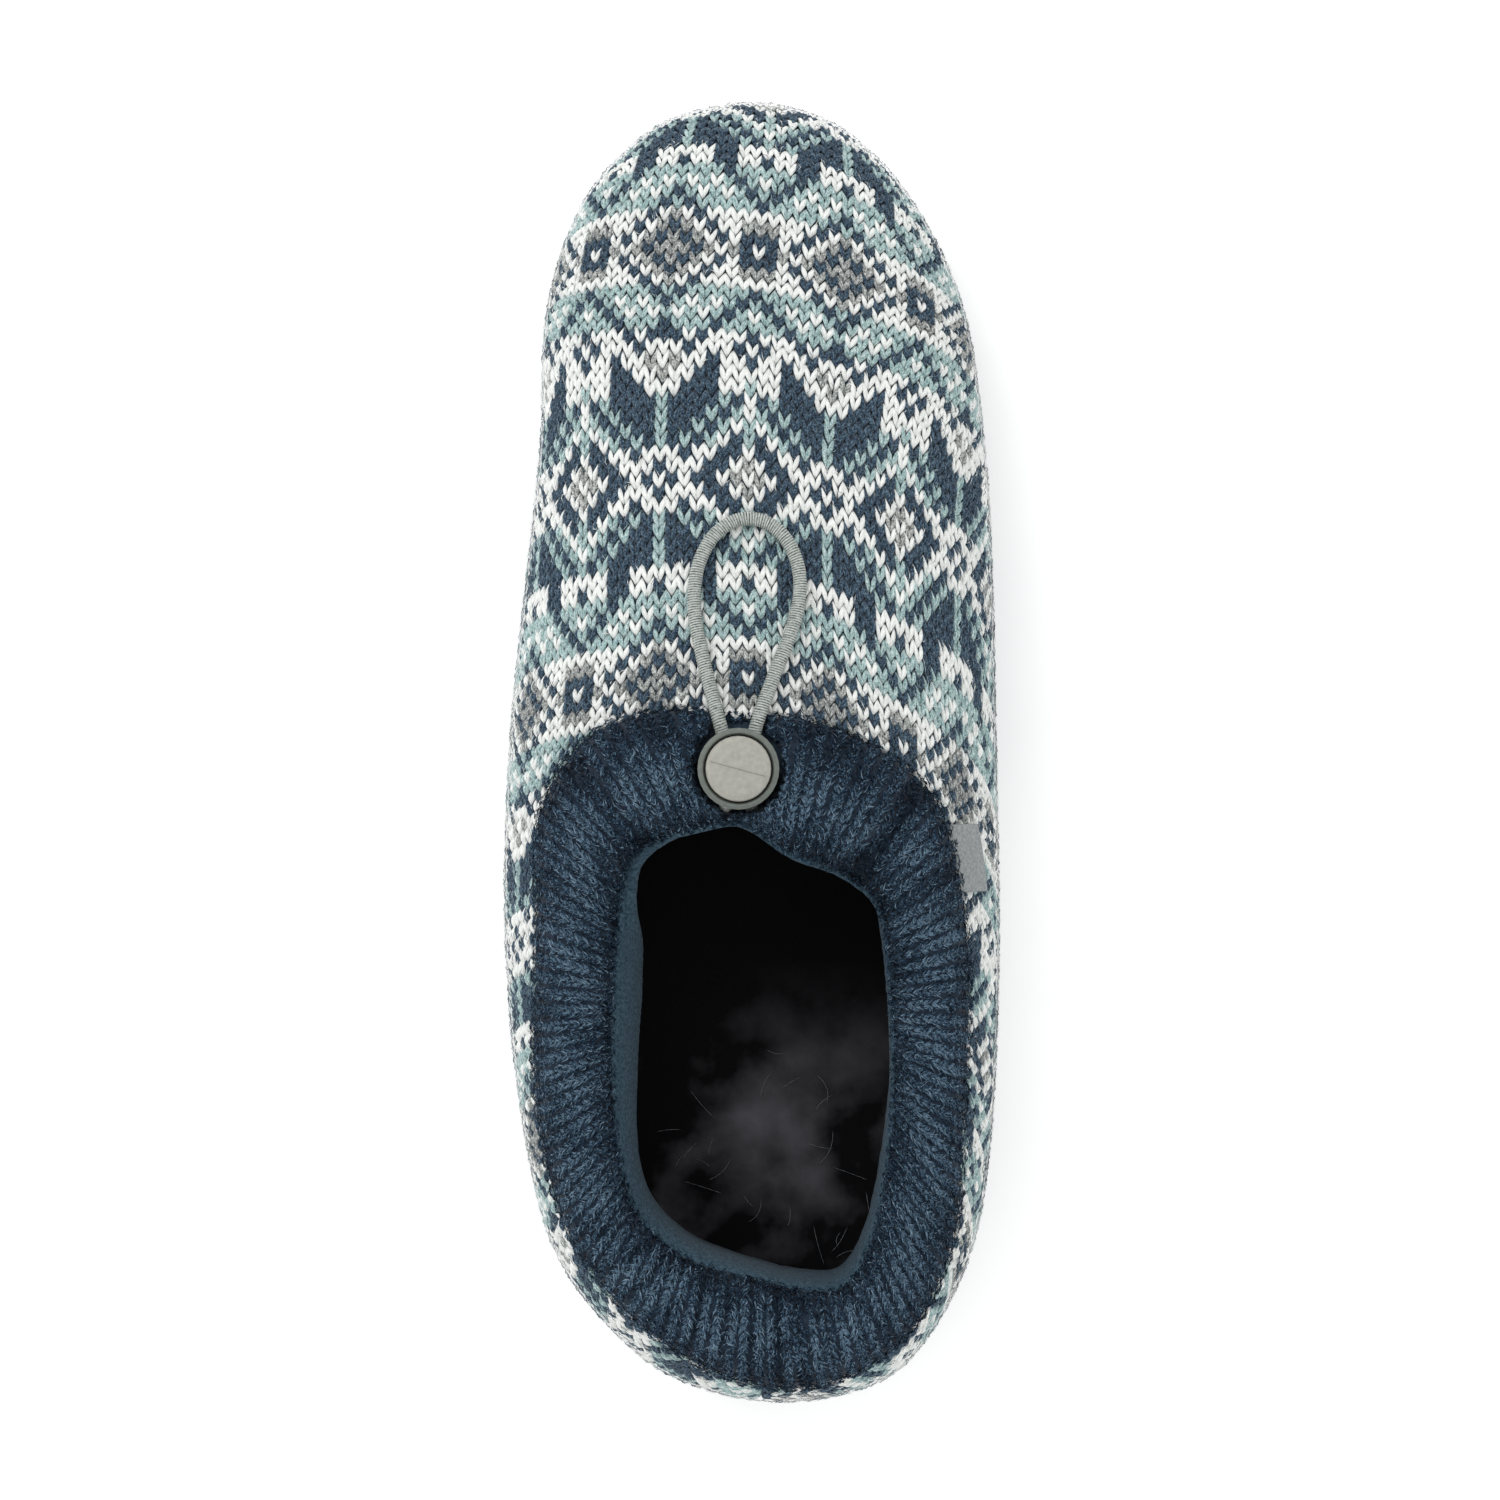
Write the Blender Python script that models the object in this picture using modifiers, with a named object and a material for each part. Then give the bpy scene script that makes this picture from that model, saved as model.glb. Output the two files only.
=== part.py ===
# Knitted slipper for a right foot, standing empty on its sole.
# The toe points along +Y, the outer side of the foot is +X, and the floor is z = 0.
# The pieces are the outsole, insole, knitted upper, padded collar, seam tab, drawcord,
# and the barrel and button of the cord lock.
import math
from collections import namedtuple

import bmesh
import bpy
from mathutils import Matrix, Vector

# Driving sizes in metres
LENGTH = 0.270
WIDTH = 0.102
INSTEP_HEIGHT = 0.070
CLEARANCE = 0.0003

# Outsole
SOLE_THICKNESS = 0.006
SOLE_INSET = 0.0038
TOE_SPRING = 0.005
SPRING_STARTS = 0.80
ARCH_LIFT = 0.0012
ARCH_BETWEEN = (0.36, 0.58)
GROOVE_WIDTH = 0.0022
GROOVE_DEPTH = 0.0011
GROOVE_PITCH = 0.0095
HEEL_GROOVES = (0.09, 4)
FOREFOOT_GROOVES = (0.63, 6)

# Insole
INSOLE_THICKNESS = 0.0045
INSOLE_INSET = 0.0103

# Upper
WALL = 0.0042
FEATHER_INSET = 0.0060
TOE_ROUND = 0.047
HEEL_ROUND = 0.040
ROUND_POWER = 2.25
UPPER_COLUMNS = 64
UPPER_RINGS = 14
TUCK_RINGS = 5

# Collar
COLLAR_COLUMNS = 60
COLLAR_POINTS = 16
COLLAR_POWER = 2.4

# Cord lock and drawcord
LOCK_X, LOCK_Y = -0.0026, -0.0039
LOCK_FLOOR = 0.0662
LOCK_HEIGHT = 0.0140
CORD_DIAMETER = 0.0028
CORD_ABOVE_LOCK_FLOOR = 0.0060
BUTTON_RADIUS = 0.0065
BUTTON_TRAVEL = 0.0020
STEM_RADIUS = 0.0053
BODY_RADIUS = 0.0070
FLANGE_RADIUS = 0.0081
STRAND_OFFSET = 0.0025

# Seam tab
TAB_Y = -0.0225
TAB_WIDTH = 0.0115
TAB_LENGTH = 0.0095
TAB_THICKNESS = 0.0008

# Middle of the foot opening, from which the rays of upper and collar start
CENTRE = Vector((0.002, -0.052))

# Outline of the upper seen from above. along is the share of LENGTH from the heel,
# medial and lateral are the shares of WIDTH to either side of the middle line.
Outline = namedtuple("Outline", "along medial lateral")
OUTLINE = (
    Outline(1.000, 0.005, 0.005),
    Outline(0.985, -0.176, 0.162),
    Outline(0.963, -0.255, 0.240),
    Outline(0.926, -0.338, 0.324),
    Outline(0.848, -0.412, 0.426),
    Outline(0.730, -0.429, 0.475),
    Outline(0.615, -0.461, 0.490),
    Outline(0.500, -0.490, 0.495),
    Outline(0.344, -0.496, 0.500),
    Outline(0.189, -0.451, 0.480),
    Outline(0.111, -0.392, 0.441),
    Outline(0.052, -0.275, 0.363),
    Outline(0.018, -0.155, 0.275),
    Outline(0.000, 0.054, 0.054),
)

# Sections of the last. ridge is the share of INSTEP_HEIGHT at the top line, belly the
# height in metres where the section is widest, lean the sideways place of the ridge as
# a share of WIDTH, and power the squareness of the section.
Section = namedtuple("Section", "along ridge belly lean power")
SECTIONS = (
    Section(0.000, 0.99, 0.029, 0.045, 2.15),
    Section(0.200, 1.01, 0.030, 0.030, 2.10),
    Section(0.380, 1.03, 0.029, 0.005, 2.05),
    Section(0.530, 1.00, 0.027, -0.020, 2.05),
    Section(0.640, 0.925, 0.025, -0.020, 2.15),
    Section(0.760, 0.830, 0.023, -0.005, 2.25),
    Section(0.880, 0.745, 0.023, 0.005, 2.30),
    Section(1.000, 0.690, 0.024, 0.005, 2.30),
)

# Collar, going round from the front over the outer side. seam is its outer edge on the
# upper and mouth its inner edge, both seen from above. mouth_z, crest_z and under_z are
# the heights of the inner edge, the top and the underside, and crest says where the top
# lies, from 0 at the mouth to 1 at the seam. All but crest are millimetres.
Roll = namedtuple("Roll", "seam_x seam_y mouth_x mouth_y mouth_z crest_z under_z crest")
ROLLS = (
    Roll(-2.3, 7.6, -2.3, -15.0, 64, 76.6, 59, 0.30),
    Roll(14.5, 5.2, 8.0, -21.3, 61, 75.0, 56, 0.36),
    Roll(29.5, -2.0, 19.5, -26.0, 57, 70.5, 51, 0.42),
    Roll(38.6, -12.0, 25.4, -31.5, 55, 67.0, 47, 0.44),
    Roll(44.0, -38.0, 27.4, -42.0, 53, 63.0, 43, 0.46),
    Roll(43.6, -73.0, 28.6, -73.0, 52, 61.5, 41, 0.46),
    Roll(41.3, -100.4, 24.6, -98.5, 53, 62.5, 41, 0.46),
    Roll(32.6, -118.5, 18.6, -109.0, 54, 63.5, 41, 0.46),
    Roll(18.5, -128.2, 9.6, -109.4, 55, 64.5, 42, 0.46),
    Roll(3.0, -130.0, 1.0, -107.5, 55, 64.5, 42, 0.46),
    Roll(-18.5, -120.4, -13.4, -103.0, 54, 63.5, 41, 0.46),
    Roll(-36.6, -100.4, -23.6, -93.5, 53, 62.5, 41, 0.46),
    Roll(-44.1, -73.0, -27.9, -71.5, 52, 61.5, 41, 0.46),
    Roll(-43.9, -37.0, -27.4, -40.5, 53, 63.0, 43, 0.46),
    Roll(-43.1, -12.1, -24.4, -22.6, 56, 68.0, 48, 0.44),
    Roll(-32.6, 3.0, -18.7, -18.4, 60, 72.5, 53, 0.40),
    Roll(-18.0, 7.9, -10.7, -16.2, 63, 75.5, 57, 0.34),
)

# Centreline of one strand of the drawcord from its mouth in the collar to the vamp, in
# millimetres: out is the distance from the lock's axis, and above from the cord's height
# in the lock. The other strand is its mirror image.
Strand = namedtuple("Strand", "out y above")
STRANDS = (
    Strand(2.5, -12.9, 0.0),
    Strand(2.5, -8.0, 0.0),
    Strand(2.5, -4.0, 0.0),
    Strand(2.6, 0.0, 0.0),
    Strand(3.2, 3.2, 0.1),
    Strand(4.1, 6.4, 0.0),
)

# The free loop lying on the vamp, from the inner strand round to the outer one.
Place = namedtuple("Place", "x y")
LOOP = (
    Place(-8.0, 11.4),
    Place(-9.8, 18.5),
    Place(-11.1, 25.0),
    Place(-11.5, 31.0),
    Place(-10.6, 37.0),
    Place(-7.9, 42.4),
    Place(-3.8, 45.6),
    Place(0.6, 46.2),
    Place(4.8, 44.4),
    Place(8.0, 40.3),
    Place(9.6, 35.0),
    Place(9.4, 29.0),
    Place(7.6, 22.5),
    Place(5.2, 16.5),
    Place(3.2, 11.2),
)

# Colours and finishes
NAVY = (0.035, 0.065, 0.115)
NIGHT = (0.012, 0.014, 0.024)
STEEL_GREY = (0.42, 0.42, 0.40)
PATTERN_BLUE = (0.30, 0.38, 0.43)


def between(a, b, share):
    return a + (b - a) * share


def curve_through(before, start, end, after, t):
    """The value at t between start and end on a Catmull-Rom curve."""
    slope = (end - before) * 0.5
    next_slope = (after - start) * 0.5
    bend = 3 * (end - start) - 2 * slope - next_slope
    twist = 2 * (start - end) + slope + next_slope
    return start + slope * t + bend * t * t + twist * t**3


def section_value(name, along):
    """A column of SECTIONS at a share of the length, on a smooth curve through its rows."""
    last = len(SECTIONS) - 2
    i = 0
    while i < last and SECTIONS[i + 1].along <= along:
        i += 1
    rows = [SECTIONS[min(max(k, 0), last + 1)] for k in (i - 1, i, i + 1, i + 2)]
    t = (along - rows[1].along) / (rows[2].along - rows[1].along)
    t = min(max(t, 0.0), 1.0)
    values = [getattr(row, name) for row in rows]
    # Slopes are measured against along, because the rows are unevenly spaced.
    span = rows[2].along - rows[1].along
    slope = (values[2] - values[0]) / max(rows[2].along - rows[0].along, 1e-6) * span
    next_slope = (values[3] - values[1]) / max(rows[3].along - rows[1].along, 1e-6) * span
    bend = 3 * (values[2] - values[1]) - 2 * slope - next_slope
    twist = 2 * (values[1] - values[2]) + slope + next_slope
    return values[1] + slope * t + bend * t * t + twist * t**3


def closed_curve(points, steps):
    """A smooth closed curve through the points, as a denser list."""
    count = len(points)
    made = []
    for i in range(count):
        near = [Vector(points[(i + k) % count]) for k in (-1, 0, 1, 2)]
        # Centripetal spacing keeps the curve from looping where points are uneven.
        gaps = [math.sqrt((near[k + 1] - near[k]).length) for k in range(3)]
        t0, t1 = 0.0, gaps[0]
        t2 = t1 + gaps[1]
        t3 = t2 + gaps[2]
        for step in range(steps):
            t = between(t1, t2, step / steps)
            a = near[0] * ((t1 - t) / (t1 - t0)) + near[1] * ((t - t0) / (t1 - t0))
            b = near[1] * ((t2 - t) / (t2 - t1)) + near[2] * ((t - t1) / (t2 - t1))
            c = near[2] * ((t3 - t) / (t3 - t2)) + near[3] * ((t - t2) / (t3 - t2))
            d = a * ((t2 - t) / (t2 - t0)) + b * ((t - t0) / (t2 - t0))
            e = b * ((t3 - t) / (t3 - t1)) + c * ((t - t1) / (t3 - t1))
            made.append(d * ((t2 - t) / (t2 - t1)) + e * ((t - t1) / (t2 - t1)))
    return made


def outline_curve():
    """The outline from the toe down the outer side to the heel and back up the inner."""
    lateral = [Vector((r.lateral * WIDTH, (r.along - 0.5) * LENGTH)) for r in OUTLINE]
    medial = [Vector((r.medial * WIDTH, (r.along - 0.5) * LENGTH)) for r in OUTLINE]
    return closed_curve(lateral + medial[-2:0:-1], 12)


def inset(curve, distance):
    """The closed clockwise curve moved inwards."""
    made = []
    for i, point in enumerate(curve):
        ahead = curve[(i + 1) % len(curve)] - curve[i - 1]
        ahead.normalize()
        made.append(point + Vector((ahead.y, -ahead.x)) * distance)
    return made


def ray_length(curve, angle):
    """How far the curve is from CENTRE in a direction, measured clockwise from +Y."""
    way = Vector((math.sin(angle), math.cos(angle)))
    found = 0.0
    for i, start in enumerate(curve):
        a = start - CENTRE
        b = curve[(i + 1) % len(curve)] - CENTRE
        side_a = way.x * a.y - way.y * a.x
        side_b = way.x * b.y - way.y * b.x
        if side_a * side_b > 0 or side_a == side_b:
            continue
        hit = a + (b - a) * (side_a / (side_a - side_b))
        found = max(found, hit.dot(way))
    return found


def even_angles(curve, count):
    """Directions from CENTRE to points spaced evenly along the curve."""
    lengths = [0.0]
    for i in range(len(curve)):
        lengths.append(lengths[-1] + (curve[(i + 1) % len(curve)] - curve[i]).length)
    angles = []
    i = 0
    for k in range(count):
        wanted = lengths[-1] * k / count
        while lengths[i + 1] < wanted:
            i += 1
        share = (wanted - lengths[i]) / (lengths[i + 1] - lengths[i])
        point = between(curve[i], curve[(i + 1) % len(curve)], share) - CENTRE
        angles.append(math.atan2(point.x, point.y))
    return angles


def width_at(curve, y):
    """The curve's inner and outer x at a place along the foot."""
    found = []
    for i, start in enumerate(curve):
        end = curve[(i + 1) % len(curve)]
        if (start.y - y) * (end.y - y) <= 0 and start.y != end.y:
            found.append(between(start.x, end.x, (y - start.y) / (end.y - start.y)))
    return (min(found), max(found)) if found else (0.0, 0.0)


OUTER = outline_curve()


def belly_height(y):
    return section_value("belly", y / LENGTH + 0.5)


def dome_height(x, y):
    """Height of the last's upper surface over a point inside the outline."""
    along = y / LENGTH + 0.5
    belly = section_value("belly", along)
    rise = section_value("ridge", along) * INSTEP_HEIGHT - belly
    to_toe = max(0.0, (y - (LENGTH / 2 - TOE_ROUND)) / TOE_ROUND)
    to_heel = max(0.0, ((HEEL_ROUND - LENGTH / 2) - y) / HEEL_ROUND)
    ending = min(max(to_toe, to_heel), 1.0)
    rise *= (1 - ending**ROUND_POWER) ** (1 / ROUND_POWER)
    left, right = width_at(OUTER, y)
    middle = (left + right) / 2
    ridge = between(middle + section_value("lean", along) * WIDTH, middle, ending)
    reach = (right - ridge) if x > ridge else (ridge - left)
    off = min(abs(x - ridge) / max(reach, 1e-6), 1.0)
    power = section_value("power", along)
    return belly + rise * (1 - off**power) ** (1 / power)


def sole_bottom(y):
    """Height of the tread: flat at heel and forefoot, raised at arch and toe."""
    along = y / LENGTH + 0.5
    low, high = ARCH_BETWEEN
    height = 0.0
    if low < along < high:
        height = ARCH_LIFT * math.sin(math.pi * (along - low) / (high - low)) ** 2
    if along > SPRING_STARTS:
        height = TOE_SPRING * ((along - SPRING_STARTS) / (1 - SPRING_STARTS)) ** 2
    return height


def sole_top(y):
    return sole_bottom(y) + SOLE_THICKNESS


def collection(name):
    made = bpy.data.collections.new(name)
    bpy.context.scene.collection.children.link(made)
    return made


def material(name, colour, roughness, metallic=0.0):
    made = bpy.data.materials.new(name)
    made.use_nodes = True
    shader = made.node_tree.nodes["Principled BSDF"]
    shader.inputs["Base Color"].default_value = (*colour, 1.0)
    shader.inputs["Roughness"].default_value = roughness
    shader.inputs["Metallic"].default_value = metallic
    return made


def add_object(name, mesh, folder, finish=None, sharp=math.radians(50)):
    obj = bpy.data.objects.new(name, mesh)
    folder.objects.link(obj)
    if finish:
        mesh.materials.append(finish)
        mesh.shade_smooth()
        mesh.set_sharp_from_angle(angle=sharp)
    else:
        obj.hide_render = True
        obj.display_type = "WIRE"
    return obj


def skin(rings, closed_rings, close_ends, wrap=False):
    """A mesh of quads between neighbouring rings of points."""
    bm = bmesh.new()
    rows = [[bm.verts.new(point) for point in ring] for ring in rings]
    count = len(rows[0])
    pairs = list(zip(rows, rows[1:]))
    if wrap:
        pairs.append((rows[-1], rows[0]))
    for lower, upper in pairs:
        for i in range(count if closed_rings else count - 1):
            j = (i + 1) % count
            bm.faces.new((lower[i], lower[j], upper[j], upper[i]))
    if close_ends:
        bm.faces.new(rows[0])
        bm.faces.new(rows[-1])
    bmesh.ops.recalc_face_normals(bm, faces=bm.faces)
    mesh = bpy.data.meshes.new("skin")
    bm.to_mesh(mesh)
    bm.free()
    return mesh


def cut_away(obj, other):
    cut = obj.modifiers.new(other.name, "BOOLEAN")
    cut.operation = "DIFFERENCE"
    cut.object = other
    cut.solver = "EXACT"


def box_cutter(name, size, centre, folder):
    bm = bmesh.new()
    bmesh.ops.create_cube(bm, size=1.0)
    bmesh.ops.scale(bm, vec=size, verts=bm.verts)
    bmesh.ops.translate(bm, vec=centre, verts=bm.verts)
    mesh = bpy.data.meshes.new(name)
    bm.to_mesh(mesh)
    bm.free()
    return add_object(name, mesh, folder)


def round_cutter(name, radius, depth, place, folder, segments=32):
    """An upright or turned cylinder; place is its 4x4 matrix."""
    bm = bmesh.new()
    bmesh.ops.create_cone(
        bm, cap_ends=True, segments=segments, radius1=radius, radius2=radius, depth=depth
    )
    bmesh.ops.transform(bm, matrix=place, verts=bm.verts)
    mesh = bpy.data.meshes.new(name)
    bm.to_mesh(mesh)
    bm.free()
    return add_object(name, mesh, folder)


def roll_radii(angle, curves):
    """Seam and mouth distances of the collar in a direction from CENTRE."""
    return ray_length(curves["seam"], angle), ray_length(curves["mouth"], angle)


def collar_curves():
    mm = 0.001
    seam = [Vector((row.seam_x * mm, row.seam_y * mm)) for row in ROLLS]
    mouth = [Vector((row.mouth_x * mm, row.mouth_y * mm)) for row in ROLLS]
    return {"seam": closed_curve(seam, 8), "mouth": closed_curve(mouth, 8)}


def roll_value(name, angle):
    """A height column of ROLLS in a direction from CENTRE, blended round the opening."""
    mm = 0.001
    turns = []
    for row in ROLLS:
        middle_x = (row.seam_x + row.mouth_x) / 2 * mm
        middle_y = (row.seam_y + row.mouth_y) / 2 * mm
        turns.append(math.atan2(middle_x - CENTRE.x, middle_y - CENTRE.y) % math.tau)
    angle %= math.tau
    order = sorted(range(len(ROLLS)), key=lambda k: turns[k])
    spot = sum(1 for k in order if turns[k] <= angle) - 1
    near = [order[(spot + k) % len(order)] for k in (-1, 0, 1, 2)]
    span = (turns[near[2]] - turns[near[1]]) % math.tau
    t = ((angle - turns[near[1]]) % math.tau) / span
    return curve_through(*(getattr(ROLLS[k], name) for k in near), t)


def collar_section(angle, curves, grow=0.0):
    """One closed section of the padded roll, as points in space."""
    mm = 0.001
    seam, mouth = roll_radii(angle, curves)
    mouth_z = roll_value("mouth_z", angle) * mm
    crest_z = roll_value("crest_z", angle) * mm
    under_z = roll_value("under_z", angle) * mm
    way = Vector((math.sin(angle), math.cos(angle)))
    seam_point = CENTRE + way * seam
    seam_z = dome_height(seam_point.x, seam_point.y)
    top = between(mouth, seam, roll_value("crest", angle))
    points = []
    for k in range(COLLAR_POINTS):
        turn = math.tau * (k + 0.5) / COLLAR_POINTS
        c, s = math.cos(turn), math.sin(turn)
        power = 2 / COLLAR_POWER if s > 0 else 0.9
        across = math.copysign(abs(c) ** power, c)
        upward = math.copysign(abs(s) ** power, s)
        radius = top + across * ((seam - top) if c > 0 else (top - mouth))
        level = between(mouth_z, seam_z, (radius - mouth) / (seam - mouth))
        height = level + upward * ((crest_z - level) if s > 0 else (level - under_z))
        points.append(Vector((radius, height)))
    made = []
    for k, point in enumerate(points):
        ahead = points[(k + 1) % COLLAR_POINTS] - points[k - 1]
        ahead.normalize()
        moved = point + Vector((ahead.y, -ahead.x)) * grow
        plan = CENTRE + way * moved.x
        made.append(Vector((plan.x, plan.y, moved.y)))
    return made


def collar_mesh(curves, grow=0.0):
    middle = [(a + b) / 2 for a, b in zip(curves["seam"], curves["mouth"])]
    angles = even_angles(middle, COLLAR_COLUMNS)
    rings = [collar_section(angle, curves, grow) for angle in angles]
    return skin(rings, closed_rings=True, close_ends=False, wrap=True)


def spread_evenly(points, count):
    """count points spaced evenly along the line through the given ones."""
    lengths = [0.0]
    for a, b in zip(points, points[1:]):
        lengths.append(lengths[-1] + (b - a).length)
    made = []
    i = 0
    for k in range(count):
        wanted = lengths[-1] * k / (count - 1)
        while i < len(points) - 2 and lengths[i + 1] < wanted:
            i += 1
        share = (wanted - lengths[i]) / (lengths[i + 1] - lengths[i])
        made.append(between(points[i], points[i + 1], min(share, 1.0)))
    return made


def upper_column(angle, curves):
    """Points of the upper from below the sole edge to under the collar, on one ray."""
    way = Vector((math.sin(angle), math.cos(angle)))
    edge = ray_length(OUTER, angle)
    seam, mouth = roll_radii(angle, curves)
    inner = between(mouth, seam, 0.55)
    widest = CENTRE + way * edge
    belly = belly_height(widest.y)
    floor = sole_top(widest.y)
    tuck = []
    for k in range(TUCK_RINGS):
        turn = math.radians(between(82, 0, k / TUCK_RINGS))
        plan = CENTRE + way * (edge - FEATHER_INSET * (1 - math.cos(turn)))
        drop = (belly - floor + 0.002) * math.sin(turn)
        tuck.append(Vector((plan.x, plan.y, belly - drop)))
    path = []
    for k in range(61):
        share = 1 - math.cos(k / 60 * math.pi / 2)
        plan = CENTRE + way * between(edge, inner, share)
        path.append(Vector((plan.x, plan.y, dome_height(plan.x, plan.y))))
    return tuck + spread_evenly(path, UPPER_RINGS)


def build_upper(parts, cutters, curves, finish):
    columns = [upper_column(angle, curves) for angle in even_angles(OUTER, UPPER_COLUMNS)]
    rings = [list(ring) for ring in zip(*columns)]
    mesh = skin(rings, closed_rings=True, close_ends=False)
    upper = add_object("upper", mesh, parts, finish)
    shell = upper.modifiers.new("wall", "SOLIDIFY")
    shell.thickness = WALL
    shell.offset = -1
    shell.use_even_offset = True
    envelope = add_object("collar_room", collar_mesh(curves, CLEARANCE), cutters)
    cut_away(upper, envelope)
    cut_away(upper, sole_room(cutters))
    return upper


def stations(inset_by, count):
    """Places along a pad of the outline's shape, closer together at its round ends."""
    half = LENGTH / 2 - inset_by
    return [-half * math.cos(math.pi * (k + 0.35) / (count - 0.3)) for k in range(count)]


def sole_room(cutters):
    """A block whose top lies just over the sole, to cut the upper's lower edge."""
    side = WIDTH
    rings = []
    for k in range(41):
        y = between(-0.55, 0.55, k / 40) * LENGTH
        top = sole_top(y) + CLEARANCE
        rings.append(
            [
                Vector((-side, y, -0.02)),
                Vector((side, y, -0.02)),
                Vector((side, y, top)),
                Vector((-side, y, top)),
            ]
        )
    return add_object("sole_room", skin(rings, True, True), cutters)


# Side of a pad: height as a share of its thickness and how far it stands in.
Step = namedtuple("Step", "height inset")
SOLE_SIDE = (
    Step(0.00, 0.0016),
    Step(0.10, 0.0005),
    Step(0.42, 0.0000),
    Step(0.50, 0.0007),
    Step(0.60, 0.0007),
    Step(0.68, 0.0000),
    Step(0.92, 0.0002),
    Step(1.00, 0.0010),
)
INSOLE_SIDE = (
    Step(0.00, 0.0006),
    Step(0.25, 0.0000),
    Step(0.75, 0.0000),
    Step(1.00, 0.0012),
)


def slab(curve, side, places, bottom, top):
    """A solid between two surfaces inside an outline, with a stepped side."""
    rings = []
    for y in places:
        left, right = width_at(curve, y)
        narrow = min(1.0, (right - left) / 0.02)
        levels = [between(bottom(y), top(y), step.height) for step in side]
        insets = [step.inset * narrow for step in side]
        ring = [Vector((left + d, y, z)) for d, z in zip(insets, levels)]
        ring += [Vector((right - d, y, z)) for d, z in zip(insets[::-1], levels[::-1])]
        rings.append(ring)
    return skin(rings, closed_rings=True, close_ends=True)


def build_outsole(parts, cutters, finish):
    edge = inset(OUTER, SOLE_INSET)
    mesh = slab(edge, SOLE_SIDE, stations(SOLE_INSET, 40), sole_bottom, sole_top)
    outsole = add_object("outsole", mesh, parts, finish, math.radians(35))
    for start, count in (HEEL_GROOVES, FOREFOOT_GROOVES):
        for k in range(count):
            y = (start - 0.5) * LENGTH + k * GROOVE_PITCH
            size = (WIDTH, GROOVE_WIDTH, GROOVE_DEPTH * 2)
            centre = (0, y, sole_bottom(y))
            cut_away(outsole, box_cutter(f"groove_{start}_{k}", size, centre, cutters))
    return outsole


def insole_bottom(y):
    return sole_top(y) + CLEARANCE


def insole_top(y):
    return insole_bottom(y) + INSOLE_THICKNESS


def build_insole(parts, finish):
    edge = inset(OUTER, INSOLE_INSET)
    mesh = slab(edge, INSOLE_SIDE, stations(INSOLE_INSET, 30), insole_bottom, insole_top)
    return add_object("insole", mesh, parts, finish)


def build_collar(parts, cutters, curves, finish):
    collar = add_object("collar", collar_mesh(curves), parts, finish)
    pocket_top = 0.03
    middle = LOCK_FLOOR - CLEARANCE + pocket_top / 2
    place = Matrix.Translation((LOCK_X, LOCK_Y, middle))
    pocket = round_cutter("lock_pocket", FLANGE_RADIUS + CLEARANCE, pocket_top, place, cutters)
    cut_away(collar, pocket)
    cord_z = LOCK_FLOOR + CORD_ABOVE_LOCK_FLOOR
    channel_floor = cord_z - CORD_DIAMETER / 2 - CLEARANCE
    channel = box_cutter(
        "strand_channel",
        (0.0132, 0.016, 0.02),
        (LOCK_X, LOCK_Y + 0.008, channel_floor + 0.01),
        cutters,
    )
    cut_away(collar, channel)
    for side in (-1, 1):
        turned = Matrix.Rotation(math.radians(90), 4, "X")
        mouth = Matrix.Translation((LOCK_X + side * STRAND_OFFSET, LOCK_Y - 0.0069, cord_z))
        name = f"casing_mouth_{side}"
        hole = round_cutter(name, CORD_DIAMETER / 2 + CLEARANCE, 0.005, mouth @ turned, cutters, 16)
        cut_away(collar, hole)
    return collar


def turned(name, profile, folder, finish, steps=32):
    """A turned solid from a profile of (radius, height) that runs from the axis down."""
    mesh = bpy.data.meshes.new(name)
    points = [(radius, 0.0, height) for radius, height in profile]
    edges = [(i, i + 1) for i in range(len(points) - 1)]
    mesh.from_pydata(points, edges, [])
    obj = add_object(name, mesh, folder, finish)
    screw = obj.modifiers.new("turn", "SCREW")
    screw.steps = steps
    screw.render_steps = steps
    screw.use_merge_vertices = True
    screw.merge_threshold = 0.00001
    screw.use_smooth_shade = False
    return obj


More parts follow.
